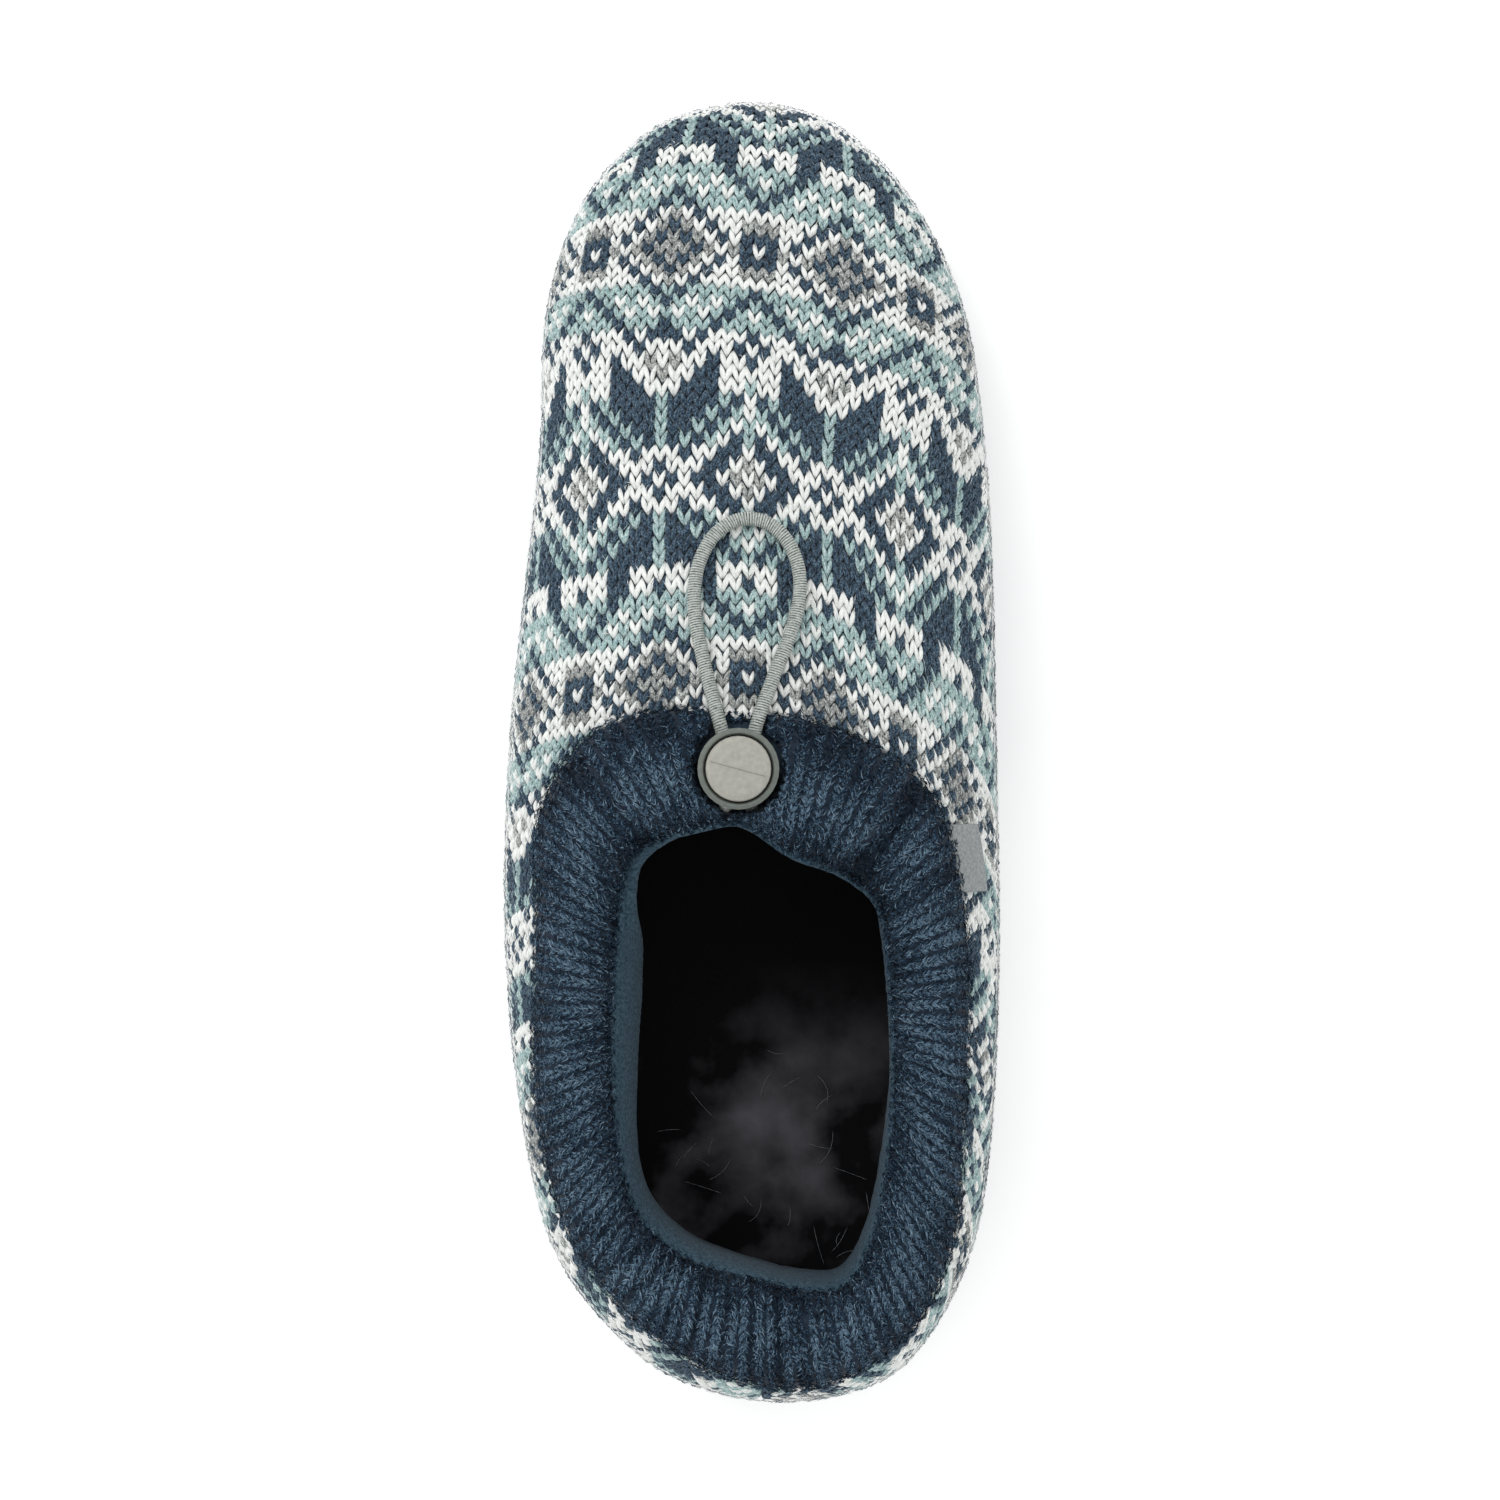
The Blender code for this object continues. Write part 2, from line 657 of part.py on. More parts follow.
def build_lock(parts, cutters, finish):
    body_bore = STEM_RADIUS + CLEARANCE
    cap_bore = BUTTON_RADIUS + CLEARANCE
    barrel = turned(
        "cord_lock_barrel",
        [
            (cap_bore, 0.0114),
            (cap_bore + 0.0003, 0.0121),
            (FLANGE_RADIUS - 0.0006, 0.0121),
            (FLANGE_RADIUS, 0.0115),
            (FLANGE_RADIUS, 0.0101),
            (FLANGE_RADIUS - 0.0005, 0.0095),
            (BODY_RADIUS + 0.0003, 0.0090),
            (BODY_RADIUS, 0.0084),
            (BODY_RADIUS, 0.0012),
            (BODY_RADIUS - 0.0009, 0.0),
            (0.0, 0.0),
        ],
        parts,
        finish,
    )
    # The inside of the barrel: a wide bore for the cap over a narrower one for the stem.
    inner = [
        (0.0, 0.0010),
        (body_bore, 0.0010),
        (body_bore, 0.0083),
        (cap_bore, 0.0083),
        (cap_bore, 0.0114),
    ]
    mesh = barrel.data
    first = len(mesh.vertices)
    mesh.vertices.add(len(inner) - 1)
    for k, (radius, height) in enumerate(inner[:-1]):
        mesh.vertices[first + k].co = (radius, 0.0, height)
    chain = list(range(first, first + len(inner) - 1)) + [0]
    start = len(mesh.edges)
    mesh.edges.add(len(chain) - 1)
    for k, ends in enumerate(zip(chain, chain[1:])):
        mesh.edges[start + k].vertices = ends
    barrel.location = (LOCK_X, LOCK_Y, LOCK_FLOOR)
    cord_half = CORD_DIAMETER / 2 + CLEARANCE
    slot = box_cutter(
        "barrel_slot",
        (0.0108, 0.03, 2 * cord_half),
        (LOCK_X, LOCK_Y, LOCK_FLOOR + CORD_ABOVE_LOCK_FLOOR),
        cutters,
    )
    cut_away(barrel, slot)

    stem_bottom = 0.0010 + CLEARANCE + BUTTON_TRAVEL
    cap_under = CORD_ABOVE_LOCK_FLOOR + cord_half + BUTTON_TRAVEL + 0.0010
    button = turned(
        "cord_lock_button",
        [
            (0.0, LOCK_HEIGHT),
            (BUTTON_RADIUS * 0.55, LOCK_HEIGHT - 0.0001),
            (BUTTON_RADIUS - 0.0010, LOCK_HEIGHT - 0.0004),
            (BUTTON_RADIUS - 0.0002, LOCK_HEIGHT - 0.0009),
            (BUTTON_RADIUS, LOCK_HEIGHT - 0.0016),
            (BUTTON_RADIUS, cap_under),
            (STEM_RADIUS, cap_under),
            (STEM_RADIUS, stem_bottom + 0.0004),
            (STEM_RADIUS - 0.0004, stem_bottom),
            (0.0, stem_bottom),
        ],
        parts,
        finish,
    )
    button.location = (LOCK_X, LOCK_Y, LOCK_FLOOR)
    low = CORD_ABOVE_LOCK_FLOOR - cord_half
    high = CORD_ABOVE_LOCK_FLOOR + cord_half + BUTTON_TRAVEL
    window = box_cutter(
        "stem_window",
        (2 * (STRAND_OFFSET + cord_half), 0.03, high - low),
        (LOCK_X, LOCK_Y, LOCK_FLOOR + (low + high) / 2),
        cutters,
    )
    cut_away(button, window)


def open_curve(points, steps):
    """A smooth open curve through the points, as a denser list."""
    made = []
    for i in range(len(points) - 1):
        near = [points[min(max(k, 0), len(points) - 1)] for k in (i - 1, i, i + 1, i + 2)]
        made += [curve_through(*near, step / steps) for step in range(steps)]
    return made + [points[-1]]


def cord_route():
    """The drawcord's centreline: one strand out of the lock, the loop, the other back."""
    mm = 0.001
    height = LOCK_FLOOR + CORD_ABOVE_LOCK_FLOOR
    inner = [(LOCK_X - s.out * mm, s.y * mm, height + s.above * mm) for s in STRANDS]
    outer = [(LOCK_X + s.out * mm, s.y * mm, height + s.above * mm) for s in STRANDS]
    rest = CORD_DIAMETER / 2 + CLEARANCE + 0.0001
    loop = [(p.x * mm, p.y * mm, dome_height(p.x * mm, p.y * mm) + rest) for p in LOOP]
    return [Vector(point) for point in inner + loop + outer[::-1]]


def build_cord(parts, finish):
    spaced = spread_evenly(open_curve(cord_route(), 12), 52)
    data = bpy.data.curves.new("drawcord", "CURVE")
    data.dimensions = "3D"
    line = data.splines.new("POLY")
    line.points.add(len(spaced) - 1)
    for point, place in zip(line.points, spaced):
        point.co = (*place, 1.0)
    data.bevel_depth = CORD_DIAMETER / 2
    data.bevel_resolution = 2
    data.use_fill_caps = True
    data.materials.append(finish)
    cord = bpy.data.objects.new("drawcord", data)
    parts.objects.link(cord)
    return cord


def build_tab(parts, curves, finish):
    """A folded woven tab, sewn into the collar seam on the outer side."""
    rings = []
    for k in range(6):
        y = TAB_Y + TAB_WIDTH * (k / 5 - 0.5)
        left, right = width_at(curves["seam"], y)
        start = right + 0.0012
        edge = width_at(OUTER, y)[1]
        line = []
        steps = 24
        for i in range(steps + 1):
            x = between(start, edge - 0.0001, 1 - (1 - i / steps) ** 2)
            line.append(Vector((x, y, dome_height(x, y))))
        face = spread_evenly(line, 2 * steps)
        kept = [face[0]]
        run = 0.0
        for a, b in zip(face, face[1:]):
            run += (b - a).length
            if run > TAB_LENGTH:
                break
            kept.append(b)
        rows = spread_evenly(kept, 6)
        outward = []
        for i, point in enumerate(rows):
            ahead = rows[min(i + 1, 5)] - rows[max(i - 1, 0)]
            outward.append(Vector((-ahead.z, 0.0, ahead.x)).normalized())
        under = [p + n * (CLEARANCE + 0.0002) for p, n in zip(rows, outward)]
        over = [p + n * TAB_THICKNESS for p, n in zip(under, outward)]
        rings.append(under + over[::-1])
    return add_object("seam_tab", skin(rings, True, True), parts, finish)


def main():
    for obj in list(bpy.data.objects):
        bpy.data.objects.remove(obj, do_unlink=True)
    parts = collection("knitted_slipper")
    cutters = collection("cutters")
    curves = collar_curves()
    knit = material("patterned_knit", PATTERN_BLUE, 0.95)
    ribbing = material("navy_knit", NAVY, 0.95)
    plush = material("dark_plush", NIGHT, 1.0)
    rubber = material("sole_rubber", NIGHT, 0.8)
    plastic = material("grey_plastic", STEEL_GREY, 0.45)
    elastic = material("grey_elastic", STEEL_GREY, 0.8)
    webbing = material("grey_tab", STEEL_GREY, 0.9)
    build_outsole(parts, cutters, rubber)
    build_insole(parts, plush)
    build_upper(parts, cutters, curves, knit)
    build_collar(parts, cutters, curves, ribbing)
    build_lock(parts, cutters, plastic)
    build_cord(parts, elastic)
    build_tab(parts, curves, webbing)


main()
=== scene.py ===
# Dresses the knitted slipper: stranded knit over the last, ribbed collar, plush lining,
# drawcord with its lock, rubber sole, and the studio that it is seen in.
# x points to the outer side of the foot, y to the toe, and the floor is z = 0.
import math

import bpy
import numpy as np
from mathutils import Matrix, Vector


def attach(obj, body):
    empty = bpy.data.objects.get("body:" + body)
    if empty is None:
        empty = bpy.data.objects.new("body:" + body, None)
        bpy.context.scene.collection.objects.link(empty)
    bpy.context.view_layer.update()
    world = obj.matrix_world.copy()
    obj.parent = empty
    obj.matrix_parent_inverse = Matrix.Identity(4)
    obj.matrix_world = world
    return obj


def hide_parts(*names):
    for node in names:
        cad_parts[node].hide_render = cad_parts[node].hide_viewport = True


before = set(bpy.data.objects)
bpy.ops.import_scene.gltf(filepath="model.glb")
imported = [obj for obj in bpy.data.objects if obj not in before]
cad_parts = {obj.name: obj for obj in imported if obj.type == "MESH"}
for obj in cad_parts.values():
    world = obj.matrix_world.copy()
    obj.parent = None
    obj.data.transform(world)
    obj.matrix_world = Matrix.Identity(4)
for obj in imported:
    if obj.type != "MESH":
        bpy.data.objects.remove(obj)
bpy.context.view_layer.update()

mm = 0.001
rng = np.random.default_rng(41)


# Camera
camera = {"height": 0.95, "lens": 105.8, "sensor": 36.0, "x": -0.0003, "y": -0.0002}


def makeCamera():
    data = bpy.data.cameras.new("camera")
    data.lens = camera["lens"]
    data.sensor_width = camera["sensor"]
    data.clip_start = 0.01
    made = bpy.data.objects.new("camera", data)
    made.location = (camera["x"], camera["y"], camera["height"])
    bpy.context.collection.objects.link(made)
    bpy.context.scene.camera = made


makeCamera()
print("stage: camera")


# The last, in the same sizes as the part's source
last = {
    "length": 0.270,
    "width": 0.102,
    "instepHeight": 0.070,
    "toeRound": 0.047,
    "heelRound": 0.040,
    "roundPower": 2.25,
    "soleThickness": 0.006,
    "toeSpring": 0.005,
    "springStarts": 0.80,
    "archLift": 0.0012,
    "archBetween": (0.36, 0.58),
    "insoleThickness": 0.0045,
    "insoleInset": 0.0103,
    "featherInset": 0.006,
    "centre": (0.002, -0.052),
}
outlineRows = (  # along, medial, lateral
    (1.000, 0.005, 0.005), (0.985, -0.176, 0.162), (0.963, -0.255, 0.240),
    (0.926, -0.338, 0.324), (0.848, -0.412, 0.426), (0.730, -0.429, 0.475),
    (0.615, -0.461, 0.490), (0.500, -0.490, 0.495), (0.344, -0.496, 0.500),
    (0.189, -0.451, 0.480), (0.111, -0.392, 0.441), (0.052, -0.275, 0.363),
    (0.018, -0.155, 0.275), (0.000, 0.054, 0.054),
)
sectionColumns = ("along", "ridge", "belly", "lean", "power")
sectionRows = np.array((
    (0.000, 0.99, 0.029, 0.045, 2.15), (0.200, 1.01, 0.030, 0.030, 2.10),
    (0.380, 1.03, 0.029, 0.005, 2.05), (0.530, 1.00, 0.027, -0.020, 2.05),
    (0.640, 0.925, 0.025, -0.020, 2.15), (0.760, 0.830, 0.023, -0.005, 2.25),
    (0.880, 0.745, 0.023, 0.005, 2.30), (1.000, 0.690, 0.024, 0.005, 2.30),
))
rollColumns = ("seamX", "seamY", "mouthX", "mouthY", "mouthZ", "crestZ", "underZ", "crest")
rollRows = np.array((
    (-2.3, 7.6, -2.3, -15.0, 64, 76.6, 59, 0.30),
    (14.5, 5.2, 8.0, -21.3, 61, 75.0, 56, 0.36),
    (29.5, -2.0, 19.5, -26.0, 57, 70.5, 51, 0.42),
    (38.6, -12.0, 25.4, -31.5, 55, 67.0, 47, 0.44),
    (44.0, -38.0, 27.4, -42.0, 53, 63.0, 43, 0.46),
    (43.6, -73.0, 28.6, -73.0, 52, 61.5, 41, 0.46),
    (41.3, -100.4, 24.6, -98.5, 53, 62.5, 41, 0.46),
    (32.6, -118.5, 18.6, -109.0, 54, 63.5, 41, 0.46),
    (18.5, -128.2, 9.6, -109.4, 55, 64.5, 42, 0.46),
    (3.0, -130.0, 1.0, -107.5, 55, 64.5, 42, 0.46),
    (-18.5, -120.4, -13.4, -103.0, 54, 63.5, 41, 0.46),
    (-36.6, -100.4, -23.6, -93.5, 53, 62.5, 41, 0.46),
    (-44.1, -73.0, -27.9, -71.5, 52, 61.5, 41, 0.46),
    (-43.9, -37.0, -27.4, -40.5, 53, 63.0, 43, 0.46),
    (-43.1, -12.1, -24.4, -22.6, 56, 68.0, 48, 0.44),
    (-32.6, 3.0, -18.7, -18.4, 60, 72.5, 53, 0.40),
    (-18.0, 7.9, -10.7, -16.2, 63, 75.5, 57, 0.34),
))


def mix(a, b, share):
    return a + (b - a) * share


def smooth(value):
    value = np.clip(value, 0.0, 1.0)
    return value * value * (3 - 2 * value)


def cubic(start, end, slope, nextSlope, t):
    # from start to end, with the given slopes at both
    bend = 3 * (end - start) - 2 * slope - nextSlope
    twist = 2 * (start - end) + slope + nextSlope
    return start + slope * t + bend * t * t + twist * t**3


def heading(angle):
    # level direction, clockwise from the toe
    return np.array([math.sin(angle), math.cos(angle)])


def runAlong(points):
    # distance of each point from the first, along the line
    return np.concatenate([[0.0], np.cumsum(np.linalg.norm(np.diff(points, axis=0), axis=1))])


def between(table, row, column):
    # a place in a table of points, blended from the four around it
    row = np.clip(row, 0, table.shape[0] - 1.001)
    column = np.clip(column, 0, table.shape[1] - 1.001)
    i, j = row.astype(int), column.astype(int)
    f, g = (row - i)[..., None], (column - j)[..., None]
    near = mix(table[i, j], table[i, j + 1], g)
    far = mix(table[i + 1, j], table[i + 1, j + 1], g)
    return mix(near, far, f)


def closedCurve(points, steps):
    count = len(points)
    made = []
    for i in range(count):
        near = [np.asarray(points[(i + k) % count], float) for k in (-1, 0, 1, 2)]
        gaps = [math.sqrt(np.linalg.norm(near[k + 1] - near[k])) for k in range(3)]
        t0, t1 = 0.0, gaps[0]
        t2 = t1 + gaps[1]
        t3 = t2 + gaps[2]
        for step in range(steps):
            t = mix(t1, t2, step / steps)
            a = near[0] * ((t1 - t) / (t1 - t0)) + near[1] * ((t - t0) / (t1 - t0))
            b = near[1] * ((t2 - t) / (t2 - t1)) + near[2] * ((t - t1) / (t2 - t1))
            c = near[2] * ((t3 - t) / (t3 - t2)) + near[3] * ((t - t2) / (t3 - t2))
            d = a * ((t2 - t) / (t2 - t0)) + b * ((t - t0) / (t2 - t0))
            e = b * ((t3 - t) / (t3 - t1)) + c * ((t - t1) / (t3 - t1))
            made.append(d * ((t2 - t) / (t2 - t1)) + e * ((t - t1) / (t2 - t1)))
    return np.array(made)


def outlineCurve():
    lateral = [(row[2] * last["width"], (row[0] - 0.5) * last["length"]) for row in outlineRows]
    medial = [(row[1] * last["width"], (row[0] - 0.5) * last["length"]) for row in outlineRows]
    return closedCurve(lateral + medial[-2:0:-1], 24)


outline = outlineCurve()


def widthAt(curve, y):
    # inner and outer x of a closed curve at places along the foot
    top, bottom = int(np.argmax(curve[:, 1])), int(np.argmin(curve[:, 1]))
    ring = np.roll(curve, -top, axis=0)
    turn = (bottom - top) % len(curve)
    outer = ring[: turn + 1][::-1]
    inner = np.vstack([ring[turn:], ring[:1]])
    return (
        np.interp(y, inner[:, 1], inner[:, 0]),
        np.interp(y, outer[:, 1], outer[:, 0]),
    )


def radiusAbout(curve, centre, angle):
    # distance from a centre to a closed curve, with angles clockwise from +y
    away = curve - np.asarray(centre)
    angles = np.arctan2(away[:, 0], away[:, 1])
    order = np.argsort(angles)
    return np.interp(angle, angles[order], np.hypot(*away.T)[order], period=math.tau)


def sectionValue(name, along):
    column = sectionColumns.index(name)
    grid = sectionRows[:, 0]
    end = len(grid) - 2
    i = np.clip(np.searchsorted(grid, along, side="right") - 1, 0, end)
    near = (np.maximum(i - 1, 0), i, i + 1, np.minimum(i + 2, end + 1))
    a = [grid[k] for k in near]
    v = [sectionRows[k, column] for k in near]
    span = a[2] - a[1]
    t = np.clip((along - a[1]) / span, 0.0, 1.0)
    slope = (v[2] - v[0]) / np.maximum(a[2] - a[0], 1e-6) * span
    nextSlope = (v[3] - v[1]) / np.maximum(a[3] - a[1], 1e-6) * span
    return cubic(v[1], v[2], slope, nextSlope, t)


def roundEnding(y):
    toToe = (y - (last["length"] / 2 - last["toeRound"])) / last["toeRound"]
    toHeel = ((last["heelRound"] - last["length"] / 2) - y) / last["heelRound"]
    return np.clip(np.maximum(toToe, toHeel), 0.0, 1.0)


def ridgeX(y):
    left, right = widthAt(outline, y)
    middle = (left + right) / 2
    lean = sectionValue("lean", y / last["length"] + 0.5) * last["width"]
    return mix(middle + lean, middle, roundEnding(y))


def bellyHeight(y):
    return sectionValue("belly", y / last["length"] + 0.5)


def domeHeight(x, y):
    along = y / last["length"] + 0.5
    belly = bellyHeight(y)
    rise = sectionValue("ridge", along) * last["instepHeight"] - belly
    rise = rise * (1 - roundEnding(y) ** last["roundPower"]) ** (1 / last["roundPower"])
    left, right = widthAt(outline, y)
    ridge = ridgeX(y)
    reach = np.where(x > ridge, right - ridge, ridge - left)
    off = np.clip(np.abs(x - ridge) / np.maximum(reach, 1e-6), 0.0, 1.0)
    power = sectionValue("power", along)
    return belly + rise * (1 - off**power) ** (1 / power)


def soleBottom(y):
    along = np.asarray(y) / last["length"] + 0.5
    low, high = last["archBetween"]
    arch = last["archLift"] * np.sin(np.pi * np.clip((along - low) / (high - low), 0, 1)) ** 2
    spring = np.clip((along - last["springStarts"]) / (1 - last["springStarts"]), 0, 1)
    return arch + last["toeSpring"] * spring**2


def soleTop(y):
    return soleBottom(y) + last["soleThickness"]


# Cloth coordinates: u across the foot and v along it, both in metres on the last
cloth = {
    "poleY": 0.085,      # the toe is wrapped round this place
    "rowZeroY": 0.0546,  # where chart row 0 lies on the top line
    "anchorY": 0.020,    # behind this the knit is held by the sole edge
    "step": 0.0005,      # spacing of the measured tables
    "reach": 0.150,
}


def measured(lines):
    # every line of points, resampled at even steps of its own length, and its full lengths
    step, reach = cloth["step"], cloth["reach"]
    marks = np.arange(0.0, reach, step)
    made = np.empty((len(lines), len(marks), 3))
    for k, line in enumerate(lines):
        line = np.asarray(line)
        arcs = runAlong(line)
        for axis in range(3):
            made[k, :, axis] = np.interp(marks, arcs, line[:, axis])
        beyond = marks > arcs[-1]
        ahead = (line[-1] - line[-3]) / max(arcs[-1] - arcs[-3], 1e-9)
        made[k, beyond] = line[-1] + (marks[beyond, None] - arcs[-1]) * ahead
    return made


def lineOver(start, end, inward):
    # from a start over the dome to the outline, then tucked under to the sole
    turn = np.linspace(0.0, np.pi / 2, 121)
    share = np.sin(turn)
    x = mix(start[0], end[0], share)
    y = mix(start[1], end[1], share)
    over = np.stack([x, y, domeHeight(x, y)], axis=1)
    over[-1, 2] = bellyHeight(end[1])
    length = np.linalg.norm(np.diff(over, axis=0), axis=1).sum()
    tuckTurn = np.radians(np.linspace(0.0, 86.0, 24))[1:]
    inset = last["featherInset"] * (1 - np.cos(tuckTurn))
    belly = bellyHeight(end[1])
    drop = (belly - soleTop(end[1]) + 0.002) * np.sin(tuckTurn)
    under = np.stack(
        [end[0] + inward[0] * inset, end[1] + inward[1] * inset, belly - drop], axis=1
    )
    return np.vstack([over, under]), length


def buildTables():
    tables = {}
    sectionY = np.arange(last["centre"][1], cloth["poleY"] + 1e-9, 0.001)
    for side, name in ((-1, "left"), (1, "right")):
        lines, totals = [], []
        for y in sectionY:
            edge = widthAt(outline, y)[0 if side < 0 else 1]
            line, total = lineOver((float(ridgeX(y)), y), (edge, y), (-side, 0.0))
            lines.append(line)
            totals.append(total)
        tables[name] = measured(lines)
        tables[name + "Total"] = np.array(totals)
    tables["sectionY"] = sectionY
    pole = np.array([float(ridgeX(cloth["poleY"])), cloth["poleY"]])
    toeAngles = np.radians(np.linspace(-90, 90, 91))
    lines = []
    for angle in toeAngles:
        way = heading(angle)
        end = pole + way * radiusAbout(outline, pole, angle)
        lines.append(lineOver(pole, end, -way)[0])
    tables["toe"] = measured(lines)
    centre = np.array(last["centre"])
    for side, name in ((-1, "heelLeft"), (1, "heelRight")):
        angles = side * np.radians(np.linspace(90, 180, 721))
        radii = radiusAbout(outline, centre, angles)
        edges = centre + np.stack([np.sin(angles), np.cos(angles)], axis=1) * radii[:, None]
        runs = runAlong(edges)
        stations = np.arange(0.0, runs[-1] + 0.001, 0.001)
        at = np.interp(stations, runs, angles)
        lines, totals = [], []
        for angle in at:
            way = heading(angle)
            end = centre + way * float(radiusAbout(outline, centre, angle))
            line, total = lineOver(centre, end, -way)
            lines.append(line)
            totals.append(total)
        tables[name] = measured(lines)
        tables[name + "Total"] = np.array(totals)
        tables[name + "Run"] = runs[-1]
    # v along the top line
    spineY = np.arange(0.0, cloth["poleY"] + 1e-9, 0.001)
    spine = np.stack([ridgeX(spineY), spineY, domeHeight(ridgeX(spineY), spineY)], axis=1)
    runs = runAlong(spine)
    runs -= np.interp(cloth["rowZeroY"], spineY, runs)
    tables["spineY"] = np.concatenate([[last["centre"][1]], spineY])
    tables["spineV"] = np.concatenate([[runs[0] + last["centre"][1]], runs])
    tables["poleV"] = runs[-1]
    tables["heelV"] = tables["spineV"][0]
    tables["pole"] = pole
    return tables


tables = buildTables()


def lookUp(table, row, arc):
    return between(table, row, arc / cloth["step"])


def onLast(u, v):
    u, v = np.broadcast_arrays(np.asarray(u, float), np.asarray(v, float))
    u, v = u.ravel(), v.ravel()
    made = np.empty((len(u), 3))
    toe = v > tables["poleV"]
    if toe.any():
        forward = v[toe] - tables["poleV"]
        angle = np.arctan2(u[toe], forward)
        row = (np.degrees(angle) + 90) / 2
        made[toe] = lookUp(tables["toe"], row, np.hypot(u[toe], forward))
    for side, name, heelName in ((-1, "left", "heelLeft"), (1, "right", "heelRight")):
        held = np.interp(cloth["anchorY"], tables["sectionY"], tables[name + "Total"])
        mine = (u >= 0) if side > 0 else (u < 0)
        part = mine & ~toe & (v >= tables["heelV"])
        if part.any():
            y = np.interp(v[part], tables["spineV"], tables["spineY"])
            row = (y - tables["sectionY"][0]) / 0.001
            total = np.interp(y, tables["sectionY"], tables[name + "Total"])
            shift = np.where(y < cloth["anchorY"], total - held, 0.0)
            arc = np.abs(u[part])
            arc = arc + shift * smooth(arc / 0.03)
            made[part] = lookUp(tables[name], row, arc)
        part = mine & (v < tables["heelV"])
        if part.any():
            run = tables["heelV"] - v[part]
            totals = tables[heelName + "Total"]
            total = np.interp(run / 0.001, np.arange(len(totals)), totals)
            arc = np.abs(u[part]) + total - held
            made[part] = lookUp(tables[heelName], run / 0.001, arc)
    return made


# The knit's own grid: columns c and chart rows r
knit = {
    "columnPitch": 0.00262,
    "rowPitch": 0.00258,
    "middleColumn": 7,
    "halfWidth": 0.268,      # of a leg, in columns
    "halfHeight": 0.00050,
    "proud": 0.00030,        # how far the legs stand over the last
    "armRise": 0.66,         # in rows to either side of the stitch's middle
    "point": 0.16,           # how far the pointed ends reach beyond, in rows
    "jitter": 0.05,
    "legRings": (0.10, 0.34, 0.62, 0.88),  # where along a leg its rings stand
    "legSides": 5,
    "gather": 0.13,          # how much closer the wales stand on the outer side
    "fill": {"N": 1.12, "W": 1.0, "T": 1.0, "G": 1.03},  # how full each yarn's legs are
}
rowMarks = (  # chart row and how far it lies behind row 0 along the cloth, millimetres
    (-60, -154.5), (-27, -68.7), (-19, -47.6), (-10, -27.1), (0, 0.0), (9, 24.5), (16, 41.2),
    (25, 62.0), (35, 89.1), (51, 130.3), (60, 151.1), (70, 178.2), (86, 219.4), (96, 243.0),
)
middleLine = (  # y and x of the middle wale, millimetres
    (-60, -0.5), (8, -0.5), (24, -0.5), (54.6, -0.7), (80, 0.1), (100, 1.3), (122, 3.5), (140, 5.0),
)
chart = (  # columns 0 to 7, then mirrored; one string a row, rows run toward the heel
    "WNWNNWGW", "NWWWNNWG", "WWNWWNNW", "TNTNTWNT", "TNNTNTWT", "TNNNTNTW", "TNNNNTNT",
    "WWWNNWWW", "NWWNNWWN", "TTTTNTTT", "TWTWTNTW", "NTWTWTNT", "TNTTTTTN", "GWNWWWWW",
    "NGWNWWGG", "GNGWNWNN", "GGNGWGNW", "GNGWNWNN", "NGWNWWGG", "GWNWWWWW", "TNTTTTTN",
    "NTWTWTNT", "TWTWTNTW", "NTTTNTTT", "NNWNWWWN", "WWNWWWNW", "WGWWNWWN", "GWWNNWWW",
    "WWNNNWWT", "TNNNNTNW", "TNNNTNTW", "TNNTNTWT", "TNTNTWNT", "WWNWWNNW", "NWWWNNWG",
)


def middleShift(v):
    spineV = np.concatenate([tables["spineV"], tables["poleV"] + np.arange(1, 60) * 0.001])
    toeLine = tables["toe"][45]
    toeY = toeLine[(np.arange(1, 60) * 0.001 / cloth["step"]).astype(int), 1]
    spineY = np.concatenate([tables["spineY"], toeY])
    base = np.where(spineY < cloth["poleY"], ridgeX(spineY), tables["pole"][0])
    wanted = np.interp(spineY / mm, *np.array(middleLine).T) * mm
    return np.interp(v, spineV, wanted - base)


def clothPlace(c, r):
    across = (c - knit["middleColumn"]) * knit["columnPitch"]
    drop = 0.1 * (across + np.sqrt(across**2 + 0.008**2)) - 0.0008 + 1.4 * across**2
    v = -np.interp(r, *np.array(rowMarks).T) * mm
    left, right = np.minimum(across, 0), np.maximum(across, 0)
    drop += 0.075 * left * smooth((v - 0.012) / 0.025)
    drop += right * (0.027 + 0.075 * smooth((v - 0.040) / 0.025))
    drop += (0.12 * right - 0.06 * left) * smooth(-v / 0.040)
    across = across - knit["gather"] * right * smooth((0.050 - v) / 0.045)
    v = v - drop
    return across + middleShift(v), v


def knitAt(c, r):
    return onLast(*clothPlace(c, r))


def withNormals(place, c, r, reach=0.35):
    points = place(c, r)
    ahead = place(c + reach, r) - place(c - reach, r)
    up = place(c, r - reach) - place(c, r + reach)
    normals = np.cross(ahead, up)
    normals /= np.maximum(np.linalg.norm(normals, axis=1), 1e-12)[:, None]
    return points, normals


